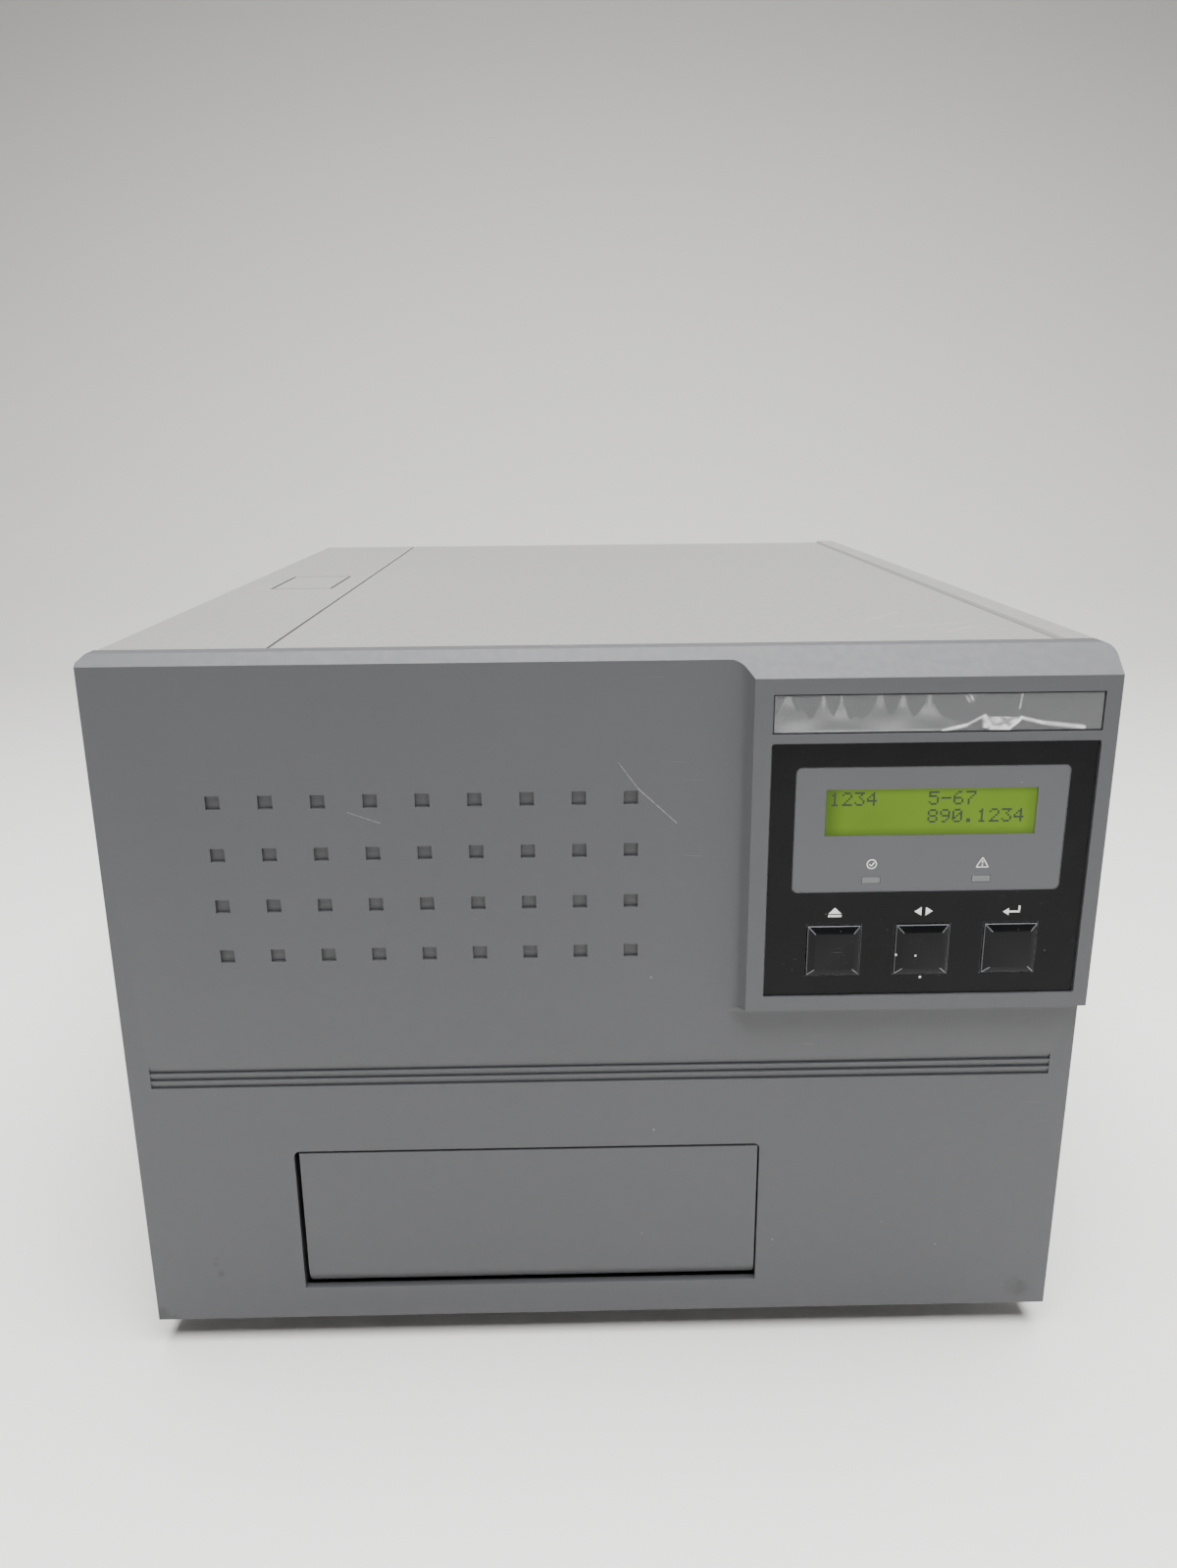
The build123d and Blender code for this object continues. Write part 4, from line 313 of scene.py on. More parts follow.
@dataclass(frozen=True)
class MouldedGrey(Finish):
    """Grained grey case plastic, with handling marks."""

    colour: Colour
    grain_mm: float = 0.45
    grain_depth_mm: float = 0.022
    roughness: float = 0.5
    # a lift of the whole colour; set for the bezel's rounded edges, it paints a highlight on them
    edge_highlight: float = 0.0
    scratches: tuple[Scratch, ...] = ()
    chips: tuple[Spot, ...] = ()
    smudges: tuple[Spot, ...] = ()
    dust: float = 0.25

    def paint(self, shader: Shader) -> None:
        """Cloudy colour, fine grain, dust, scratches, chips and smudges."""
        cloud = shader.noise(7.0, 3.0).ramp(0.25, 0.75)
        # A positive edge lift paints the colour lighter: on rounded edges it is a painted highlight over a
        # little edge wear.
        lighter = times(self.colour, 1.03 + self.edge_highlight)
        darker = times(self.colour, 0.97 + self.edge_highlight)
        colour = shader.mix(cloud, darker, lighter)
        fleck = shader.noise(1.0 / (self.grain_mm * MM), 3.0).ramp(0.35, 0.7)
        colour = shader.mix(fleck * 0.10, colour, times(self.colour, 1.5))
        specks = shader.cells(95.0).ramp(0.0, 0.045, 1.0, 0.0) * shader.noise(14.0, 2.0).ramp(0.52, 0.62)
        colour = shader.mix(specks * self.dust, colour, (0.72, 0.72, 0.70))
        hair = shader.stretched((3.0, 3.0, 60.0), (0.0, 38.0, 0.0))
        scuffs = shader.noise(26.0, 3.0, hair).ramp(0.70, 0.76) * shader.noise(8.0, 2.0).ramp(0.55, 0.68)
        colour = shader.mix(scuffs * 0.05, colour, (0.55, 0.56, 0.57))
        for mark in self.smudges:
            haze = shader.noise(240.0, 3.0).ramp(0.3, 0.65)
            mask = mark.mask(shader) * haze
            colour = shader.mix(mask * mark.strength, colour, times(self.colour, 0.35))
        marks = [(shader.stroke(s.start, s.end, s.width_mm), s.strength) for s in self.scratches]
        marks += [(c.mask(shader), c.strength) for c in self.chips]
        for mask, strength in marks:
            broken = shader.noise(900.0, 2.0).ramp(0.3, 0.6, 0.35, 1.0)
            colour = shader.mix(mask * broken * strength, colour, (0.80, 0.80, 0.78))
        height = shader.noise(1.0 / (self.grain_mm * MM), 4.0, rough=0.6)
        roughness = shader.noise(420.0, 3.0).ramp(0.3, 0.7, self.roughness - 0.03, self.roughness + 0.03)
        shader.set(Base_Color=colour, Roughness=roughness, IOR=1.46)
        shader.set(Normal=shader.bump(height, self.grain_depth_mm))


@dataclass(frozen=True)
class BlackPanel(Finish):
    """Semi-gloss black plastic with dust and short hairline scratches."""

    colour: Colour = (0.0012, 0.0014, 0.0017)
    roughness: float = 0.25
    dust: float = 0.45
    ior: float = 1.235
    chips: tuple[Spot, ...] = ()

    def paint(self, shader: Shader) -> None:
        """Near black, faint orange peel, light dust and hairlines."""
        cloud = shader.noise(30.0, 3.0).ramp(0.3, 0.7)
        colour = shader.mix(cloud, self.colour, times(self.colour, 1.5))
        dust = shader.cells(300.0).ramp(0.02, 0.055, 1.0, 0.0) * shader.noise(45.0, 2.0).ramp(0.53, 0.62)
        colour = shader.mix(dust * self.dust, colour, (0.42, 0.42, 0.41))
        for turn in (24.0, -35.0, 78.0):
            hair = shader.stretched((12.0, 12.0, 320.0), (0.0, turn, 0.0))
            line = shader.noise(20.0, 1.0, hair).ramp(0.76, 0.80) * shader.noise(70.0, 1.0).ramp(0.60, 0.66)
            colour = shader.mix(line * 0.35, colour, (0.30, 0.30, 0.31))
        for chip in self.chips:
            colour = shader.mix(chip.mask(shader) * chip.strength, colour, (0.85, 0.85, 0.83))
        peel = shader.noise(1400.0, 2.0)
        roughness = shader.noise(110.0, 3.0).ramp(0.3, 0.7, self.roughness - 0.04, self.roughness + 0.07)
        shader.set(Base_Color=colour, Roughness=roughness, IOR=self.ior)
        shader.set(Normal=shader.bump(peel, 0.006))


@dataclass(frozen=True)
class WindowFilm(Finish):
    """Smooth grey overlay film of the display window."""

    colour: Colour = (0.064, 0.066, 0.072)

    def paint(self, shader: Shader) -> None:
        """Even grey with a fine satin tooth and a few specks."""
        tooth = shader.noise(2600.0, 2.0)
        cloud = shader.noise(50.0, 3.0).ramp(0.3, 0.7)
        colour = shader.mix(cloud, times(self.colour, 0.96), times(self.colour, 1.05))
        specks = shader.cells(190.0).ramp(0.0, 0.05, 1.0, 0.0) * shader.noise(40.0, 2.0).ramp(0.55, 0.62)
        colour = shader.mix(specks * 0.4, colour, (0.6, 0.6, 0.6))
        roughness = cloud.ramp(0.0, 1.0, 0.34, 0.42)
        shader.set(Base_Color=colour, Roughness=roughness, Normal=shader.bump(tooth, 0.004))


@dataclass(frozen=True)
class BacklitDisplay(Finish):
    """Yellow-green display glass with its uneven backlight."""

    left: float
    width: float
    bottom: float
    height: float
    colour: Colour = (0.225, 0.395, 0.030)
    deep: Colour = (0.080, 0.150, 0.012)

    def paint(self, shader: Shader) -> None:
        """Brighter to the right and in the middle, darker at the rim."""
        across = (shader.axis("X") - self.left) / self.width
        up = (shader.axis("Z") - self.bottom) / self.height
        side = across.ramp(0.0, 0.10, 0.30, 1.0) * across.ramp(0.93, 1.0, 1.0, 0.65)
        rise = up.ramp(0.0, 0.20, 0.50, 1.0) * up.ramp(0.85, 1.0, 1.0, 0.60)
        cloud = shader.noise(70.0, 2.0).ramp(0.3, 0.7, 0.88, 1.0)
        lit = side * rise * cloud * across.ramp(0.0, 1.0, 0.82, 1.0)
        colour = shader.mix(lit, self.deep, self.colour)
        dim = shader.mix(lit, (0.010, 0.020, 0.001), (0.030, 0.060, 0.002))
        shader.set(Base_Color=dim, Emission_Color=colour, Emission_Strength=0.62)
        shader.set(Roughness=0.25, IOR=1.22)


@dataclass(frozen=True)
class SheetMetal(Finish):
    """Plated or bare sheet steel, with rolling lines or spangle."""

    colour: Colour = (0.50, 0.51, 0.52)
    roughness: float = 0.34
    spangle: float = 0.5
    lines: Point = (4.0, 300.0, 300.0)

    def paint(self, shader: Shader) -> None:
        """Metallic, faint crystals, brushed lines and dull patches."""
        crystal = shader.cells(160.0)
        cloud = shader.noise(22.0, 3.0).ramp(0.3, 0.7)
        colour = shader.mix(cloud, times(self.colour, 0.90), times(self.colour, 1.06))
        colour = shader.mix(crystal * self.spangle * 0.35, colour, times(self.colour, 1.2))
        brushed = shader.noise(9.0, 3.0, shader.stretched(self.lines))
        roughness = brushed.ramp(0.3, 0.7, self.roughness - 0.07, self.roughness + 0.10)
        shader.set(Base_Color=colour, Metallic=1.0, Roughness=roughness)
        shader.set(Normal=shader.bump(brushed, 0.006))


@dataclass(frozen=True)
class Zone:
    """A box in the row frame, inside which a piece is of another stuff."""

    low: Point
    high: Point
    colour: Colour
    metallic: float = 0.0


@dataclass(frozen=True)
class PlainMoulding(Finish):
    """Smooth engineering plastic or rubber of the inner parts, with zones of another stuff."""

    colour: Colour
    roughness: float = 0.42
    grain_mm: float = 0.7
    depth_mm: float = 0.01
    mottle: float = 0.12
    zones: tuple[Zone, ...] = ()

    def paint(self, shader: Shader) -> None:
        """Slightly mottled colour with a fine tooth."""
        cloud = shader.noise(35.0, 4.0).ramp(0.3, 0.7)
        low = times(self.colour, 1.0 - self.mottle)
        high = tuple(min(1.0, c * (1.0 + self.mottle) + 0.004) for c in self.colour)
        tooth = shader.noise(1.0 / (self.grain_mm * MM), 3.0)
        roughness = shader.noise(80.0, 2.0).ramp(0.3, 0.7, self.roughness - 0.05, self.roughness + 0.07)
        colour = shader.mix(cloud, low, high)
        for zone in self.zones:
            mask = shader.inside(zone.low, zone.high)
            shade = shader.mix(cloud, times(zone.colour, 0.88), zone.colour)
            colour = shader.mix(mask, colour, shade)
            if zone.metallic:
                shader.set(Metallic=mask * zone.metallic)
        shader.set(Base_Color=colour, Roughness=roughness)
        shader.set(Normal=shader.bump(tooth, self.depth_mm))


@dataclass(frozen=True)
class CircuitBoard(Finish):
    """Green solder mask with tracks and pads under it."""

    colour: Colour = (0.012, 0.085, 0.035)
    zones: tuple[Zone, ...] = ()

    def paint(self, shader: Shader) -> None:
        """Darker board, lighter tracks on a fine grid, tinned dots, components."""
        across = (shader.axis("Y") * 2100.0).wave().ramp(0.55, 0.75)
        along = (shader.axis("Z") * 2100.0).wave().ramp(0.55, 0.75)
        chosen = shader.noise(120.0, 0.0).ramp(0.47, 0.53)
        tracks = across * chosen + along * (1.0 - chosen)
        colour = shader.mix(tracks.at_most(1.0), self.colour, times(self.colour, 2.4))
        pads = shader.cells(330.0).ramp(0.10, 0.16, 1.0, 0.0)
        colour = shader.mix(pads * 0.8, colour, (0.62, 0.62, 0.60))
        for zone in self.zones:
            colour = shader.mix(shader.inside(zone.low, zone.high), colour, zone.colour)
        shader.set(Base_Color=colour, Roughness=0.33, Normal=shader.bump(tracks, 0.02))


@dataclass(frozen=True)
class WoundWeb(Finish):
    """Film or ribbon wound on a core: turns seen at the ends, soft bands along the roll."""

    colour: Colour
    roughness: float
    axis_at: Pair
    turn_mm: float = 0.55

    def paint(self, shader: Shader) -> None:
        """Rings by the distance from the roll's axis, bands along it."""
        flat = shader.node("ShaderNodeCombineXYZ", None, {1: shader.axis("Y"), 2: shader.axis("Z")})
        radius = shader.vector("DISTANCE", flat, (0.0, *self.axis_at), "Value")
        turns = (radius * (2 * math.pi / (self.turn_mm * MM))).wave() * 0.5 + 0.5
        bands = shader.noise(6.0, 3.0, shader.stretched((120.0, 1.0, 1.0))).ramp(0.35, 0.65)
        low, high = times(self.colour, 0.7), times(self.colour, 1.25)
        colour = shader.mix(bands * 0.6 + turns * 0.4, low, high)
        roughness = bands.ramp(0.0, 1.0, self.roughness, self.roughness + 0.08)
        shader.set(Base_Color=colour, Roughness=roughness, Coat_Weight=0.3, Coat_Roughness=0.12)
        shader.set(Normal=shader.bump(turns, 0.03))


@dataclass(frozen=True)
class Ink(Finish):
    """Printed marks: opaque, slightly uneven."""

    colour: Colour
    roughness: float = 0.45

    def paint(self, shader: Shader) -> None:
        """Flat ink with a faint mottle."""
        mottle = shader.noise(1600.0, 2.0).ramp(0.3, 0.7)
        colour = shader.mix(mottle, times(self.colour, 0.88), self.colour)
        shader.set(Base_Color=colour, Roughness=self.roughness)


@dataclass(frozen=True)
class LooseFilm(Finish):
    """Clear protective film, milky where it is creased or lifted."""

    def paint(self, shader: Shader) -> None:
        """Almost clear, whiter by the piece's own crease value."""
        crease = shader.attribute("crease")
        haze = shader.noise(300.0, 3.0).ramp(0.35, 0.7)
        milk = crease.ramp(0.10, 1.0) * (0.65 + haze * 0.35)
        shader.set(Base_Color=shader.mix(milk, (0.34, 0.345, 0.35), (0.86, 0.87, 0.88)))
        shader.set(Alpha=0.05 + milk * 0.80, Roughness=0.14 + milk * 0.22, IOR=1.4)


@dataclass(frozen=True)
class StageFloor(Finish):
    """Plain pale floor."""

    name: str = "stage_pale"
    colour: Colour = (0.80, 0.79, 0.77)

    def paint(self, shader: Shader) -> None:
        """An even pale surface."""
        shader.set(Base_Color=self.colour, Roughness=0.6)


# ---------------------------------------------------------------- mesh building


def place(name: str, data: bpy.types.ID) -> bpy.types.Object:
    """Put an object with the given data into the scene."""
    made = bpy.data.objects.new(name, data)
    bpy.context.scene.collection.objects.link(made)
    return made


def file_piece(mesh: bpy.types.Mesh, body: str) -> bpy.types.Object:
    """Make a mesh a piece of its name, which rides on a CAD body."""
    made = place(mesh.name, mesh)
    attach(made, body)
    LOG.info("piece %s: %d faces on %s", mesh.name, len(mesh.polygons), body)
    return made


@dataclass(frozen=True)
class Tag:
    """A piece's name, the CAD body that it rides on, its material and the record's slot for it."""

    name: str
    body: str
    finish: Material
    slot: str


def new_piece(tag: Tag, points: np.ndarray, faces: Sequence[Sequence[int]]) -> bpy.types.Object:
    """Make a piece from points and faces.

    Args:
        tag: what the piece is called and belongs to.
        points: an array of points, one row each, in metres in the row frame.
        faces: the point numbers of each face, counter-clockwise seen from outside.

    Returns:
        The finished object.
    """
    mesh = bpy.data.meshes.new(tag.name)
    mesh.from_pydata(points.tolist(), [], [list(map(int, face)) for face in faces])
    mesh.materials.append(tag.finish)
    mesh.validate()
    return file_piece(mesh, tag.body)


def grid_faces(rows: int, columns: int, offset: int = 0) -> list[list[int]]:
    """Quads of a grid of rows by columns points, numbered row by row from an offset."""
    index = np.arange(rows * columns).reshape(rows, columns) + offset
    quads = np.stack([index[:-1, :-1], index[:-1, 1:], index[1:, 1:], index[1:, :-1]], axis=-1)
    return quads.reshape(-1, 4).tolist()


def tube_faces(rows: int, sides: int) -> list[list[int]]:
    """Quads that join rows of points, each row closed into a ring."""
    index = np.arange(rows * sides).reshape(rows, sides)
    after = np.roll(index, -1, axis=1)
    return np.stack([index[:-1], index[1:], after[1:], after[:-1]], -1).reshape(-1, 4).tolist()


class Sheet:
    """A thin closed sheet that faces -Y, whose front is a height over a grid in X and Z."""

    def __init__(self, low: Pair, high: Pair, steps: tuple[int, int]) -> None:
        """Lay a grid of steps over the rectangle from low to high, both (x, z) in metres."""
        x = np.linspace(low[0], high[0], steps[0])
        z = np.linspace(low[1], high[1], steps[1])
        self.x, self.z = np.meshgrid(x, z)

    def piece(self, tag: Tag, front: np.ndarray, thickness: float) -> bpy.types.Object:
        """Close the sheet between its front, the y of each grid point, and the same surface moved back."""
        rows, columns = self.x.shape
        count = rows * columns
        near = np.stack([self.x, front, self.z], axis=-1).reshape(-1, 3)
        far = near + (0.0, thickness, 0.0)
        faces = grid_faces(rows, columns)
        faces += [face[::-1] for face in grid_faces(rows, columns, count)]
        index = np.arange(count).reshape(rows, columns)
        rim = np.concatenate([index[0, :-1], index[:-1, -1], index[-1, :0:-1], index[:0:-1, 0]])
        after = np.roll(rim, -1)
        faces += np.stack([rim, rim + count, after + count, after], axis=-1).tolist()
        return new_piece(tag, np.concatenate([near, far]), faces)


class Marks:
    """Thin flat marks that face -Y, gathered from convex outlines and rings in millimetres."""

    def __init__(self, origin: Point) -> None:
        """Start a set of marks whose drawing plane has its zero at origin."""
        self.origin = np.array(origin)
        self.points: list[np.ndarray] = []
        self.faces: list[list[int]] = []
        self.count = 0

    def _prism(self, outline: np.ndarray, faces: list[list[int]]) -> None:
        """Add a prism: the outline in front, its copy behind, and the given faces."""
        flat = np.stack([outline[:, 0], np.zeros(len(outline)), outline[:, 1]], axis=-1) * MM
        front = self.origin + flat - (0.0, MARK_THICKNESS, 0.0)
        self.points += [front, front + (0.0, MARK_THICKNESS, 0.0)]
        self.faces += [[i + self.count for i in face] for face in faces]
        self.count += 2 * len(outline)

    def shape(self, outline: Iterable[Pair], at: Pair = (0.0, 0.0)) -> None:
        """Add a convex outline, its points counter-clockwise seen from the front."""
        ring = np.array(list(outline), float) + np.array(at)
        size = len(ring)
        faces = [list(range(size)), list(range(2 * size - 1, size - 1, -1))]
        faces += [[i, i + size, (i + 1) % size + size, (i + 1) % size] for i in range(size)]
        self._prism(ring, faces)

    def bar(self, start: Pair, end: Pair, width: float) -> None:
        """Add a straight bar of a width between two points."""
        a, b = np.array(start, float), np.array(end, float)
        side = np.array([-(b - a)[1], (b - a)[0]]) / np.linalg.norm(b - a) * width / 2
        self.shape([a - side, b - side, b + side, a + side])

    def ring(self, at: Pair, inner: float, outer: float, steps: int) -> None:
        """Add a flat ring: points on two circles, joined by quads."""
        turn = np.linspace(0.0, 2 * math.pi, steps, endpoint=False)
        circle = np.stack([np.cos(turn), np.sin(turn)], axis=-1)
        both = np.concatenate([circle * outer, circle * inner]) + np.array(at)
        i = np.arange(steps)
        j = np.roll(i, -1)
        back = 2 * steps
        sets = [
            np.stack([i, j, j + steps, i + steps], -1),
            np.stack([i + back, i + steps + back, j + steps + back, j + back], -1),
            np.stack([i, i + back, j + back, j], -1),
            np.stack([i + steps, j + steps, j + steps + back, i + steps + back], -1),
        ]
        self._prism(both, np.concatenate(sets).tolist())

    def disc(self, at: Pair, radius: float, steps: int) -> None:
        """Add a filled circle."""
        turn = np.linspace(0.0, 2 * math.pi, steps, endpoint=False)
        self.shape(np.stack([np.cos(turn), np.sin(turn)], axis=-1) * radius, at)

    def piece(self, tag: Tag) -> bpy.types.Object:
        """Make the marks one piece."""
        return new_piece(tag, np.concatenate(self.points), self.faces)


def rounded_copy(source: bpy.types.Mesh, name: str, width: float) -> bpy.types.Mesh:
    """Copy a mesh with its sharp edges rounded; the rounded edges have the second material."""
    mesh = bpy.data.meshes.new(name)
    form = bmesh.new()
    form.from_mesh(source)
    bmesh.ops.remove_doubles(form, verts=form.verts, dist=MERGE_WITHIN)
    bmesh.ops.dissolve_limit(
        form, angle_limit=FLAT_WITHIN, verts=form.verts, edges=form.edges, delimit={"NORMAL"}
    )
    sharp = [e for e in form.edges if e.is_manifold and e.calc_face_angle(0.0) > ROUNDED_OVER]
    bmesh.ops.bevel(
        form,
        geom=sharp,
        offset=width,
        offset_type="OFFSET",
        segments=ROUNDING_STEPS,
        profile=0.5,
        affect="EDGES",
        clamp_overlap=True,
        material=1,
        loop_slide=True,
    )
    form.to_mesh(mesh)
    form.free()
    return mesh


def softened(
    nodes: str, width_mm: float, finish: Material, edge_finish: Material
) -> None:
    """Stand copies of CAD nodes, with their sharp edges rounded, in the nodes' places.

    Args:
        nodes: the CAD nodes, named in one line of words.
        width_mm: the width of the rounding.
        finish: the material of their faces.
        edge_finish: the material of their rounded edges.
    """
    for node in nodes.split():
        source = frame["nodes"][node]
        mesh = rounded_copy(source.data, f"{node}_shell", width_mm * MM)
        mesh.materials.append(finish)
        mesh.materials.append(edge_finish)
        mesh.set_sharp_from_angle(angle=CREASED_OVER)
        rounded = np.zeros(len(mesh.polygons), dtype=np.int32)
        mesh.polygons.foreach_get("material_index", rounded)
        mesh.polygons.foreach_set("use_smooth", rounded == 0)
        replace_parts(file_piece(mesh, source["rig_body"]), node)


def rounded_rod(start: float, end: float, radius: float, round_mm: float) -> np.ndarray:
    """Profile (x, r) of a rod, from pole to pole, whose rims are quarter circles."""
    turn = np.linspace(0.0, math.pi / 2, ROD_STEPS)
    size = min(round_mm * MM, radius / 2, (end - start) / 2)
    x = start + size - size * np.cos(turn)
    r = radius - size + size * np.sin(turn)
    rims = np.concatenate([np.stack([x, r], -1), np.stack([start + end - x[::-1], r[::-1]], -1)])
    return np.concatenate([[(start, 0.0)], rims, [(end, 0.0)]])


class Axle:
    """The axis along X, the ends, the radius and the body of a round CAD node."""

    def __init__(self, node: str) -> None:
        """Measure the node."""
        low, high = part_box(node)
        self.start, self.end = low.x, high.x
        self.centre = ((low.y + high.y) / 2, (low.z + high.z) / 2)
        self.radius = (high.z - low.z) / 2
        self.body = frame["nodes"][node]["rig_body"]


def turned(
    name: str, profile: np.ndarray, axle: Axle, finish: Material, slot: str
) -> bpy.types.Object:
    """Turn a profile about an axis along X.

    Each point is (x, y0 + r cos a, z0 + r sin a), for the profile's x and r and the angle a round the axis.
    The first and last points of the profile lie on the axis and close the solid.

    Args:
        name: the piece's name.
        profile: the (x, r) of the outline, from one pole to the other, in metres.
        axle: its axis and the body that it rides on.
        finish: its material.
        slot: the record's material slot.

    Returns:
        The finished object.
    """
    angle = np.linspace(0.0, 2 * math.pi, TURN_SIDES, endpoint=False)
    centre = axle.centre
    x, r = profile[1:-1, 0], profile[1:-1, 1]
    wide = np.broadcast_to(x[:, None], (len(x), TURN_SIDES))
    rings = np.stack(
        [wide, centre[0] + np.outer(r, np.cos(angle)), centre[1] + np.outer(r, np.sin(angle))], axis=-1
    ).reshape(-1, 3)
    poles = np.array([[profile[0, 0], *centre], [profile[-1, 0], *centre]])
    faces = tube_faces(len(x), TURN_SIDES)
    first = len(rings)
    ring = np.arange(TURN_SIDES)
    after = np.roll(ring, -1)
    end = first - TURN_SIDES
    faces += np.stack([np.full(TURN_SIDES, first), ring, after], -1).tolist()
    faces += np.stack([np.full(TURN_SIDES, first + 1), after + end, ring + end], -1).tolist()
    tag = Tag(name, axle.body, finish, slot)
    made = new_piece(tag, np.concatenate([rings, poles]), faces)
    outwards(made)
    made.data.shade_smooth()
    made.data.set_sharp_from_angle(angle=TURNED_CREASE)
    return made


def outwards(piece: bpy.types.Object) -> None:
    """Turn the faces of a closed piece outwards."""
    form = bmesh.new()
    form.from_mesh(piece.data)
    bmesh.ops.recalc_face_normals(form, faces=form.faces)
    form.to_mesh(piece.data)
    form.free()


def dress(nodes: str, finish: Material) -> None:
    """Give CAD nodes, named in one line of words, a material."""
    for node in nodes.split():
        mesh = frame["nodes"][node].data
        mesh.materials.clear()
        mesh.materials.append(finish)
        LOG.info("finish %s: %s", node, finish.name)


# ---------------------------------------------------------------- camera, light and floor


@dataclass(frozen=True)
class SoftBox:
    """A square area light: its centre, its Euler angles in degrees, its side and its watts."""

    name: str
    at: Point
    turn: Point
    size: float
    power: float

    def hang(self) -> None:
        """Put the light into the scene."""
        light = bpy.data.lights.new(self.name, "AREA")
        light.size = self.size
        light.energy = self.power
        lamp = place(self.name, light)
        lamp.location = self.at
        lamp.rotation_euler = tuple(math.radians(a) for a in self.turn)


@dataclass(frozen=True)
class Studio:
    """Camera of the photograph, soft light and a pale floor."""

    camera_at: Point = (-0.0082, -0.48304, 0.27333)
    camera_turn: Point = (73.845, 0.512, -1.057)
    focal_length: float = 36.09
    sensor_width: float = 36.0
    air_colour: Colour = (1.0, 0.985, 0.96)
    air_light: float = 0.15
    floor_size: float = 6.0
    floor_rows: int = 25
    floor_bend: float = 0.9
    lights: tuple[SoftBox, ...] = (
        SoftBox("ceiling_light", (0.10, -0.38, 1.6), (0.0, 0.0, 0.0), 1.6, 106.0),
        SoftBox("wall_glow", (0.0, 2.2, 0.9), (-96.0, 0.0, 0.0), 2.2, 26.0),
        SoftBox("room_light", (0.9, -1.9, 0.6), (76.0, 0.0, 25.0), 1.4, 2.0),
    )

    def build(self) -> None:
        """Place the camera, the lights, the world and the floor."""
        lens = bpy.data.cameras.new("front_camera")
        lens.lens = self.focal_length
        lens.sensor_width = self.sensor_width
        lens.sensor_fit = "HORIZONTAL"
        camera = place("front_camera", lens)
        camera.location = self.camera_at
        camera.rotation_euler = tuple(math.radians(a) for a in self.camera_turn)
        bpy.context.scene.camera = camera
        for light in self.lights:
            light.hang()
        world = bpy.data.worlds.new("pale_room")
        world.use_nodes = True
        background = world.node_tree.nodes["Background"]
        background.inputs["Color"].default_value = (*self.air_colour, 1.0)
        background.inputs["Strength"].default_value = self.air_light
        bpy.context.scene.world = world
        self._floor()

    def _floor(self) -> None:
        """Lay the floor at z = 0 and bend it up behind, far from the printer."""
        half = self.floor_size / 2
        along = np.linspace(-half, half, self.floor_rows)
        lift = np.clip(along - half / 3, 0.0, None) ** 2 * self.floor_bend
        x, y = np.meshgrid(np.array([-half, half]), along)
        z = np.repeat(lift[:, None], 2, axis=1)
        mesh = bpy.data.meshes.new("floor")
        points = np.stack([x, y, z], axis=-1).reshape(-1, 3)
        mesh.from_pydata(points.tolist(), [], grid_faces(self.floor_rows, 2))
        mesh.materials.append(StageFloor().make())
        mesh.shade_smooth()
        floor = place("floor", mesh)


# ---------------------------------------------------------------- the printer's sub-assemblies


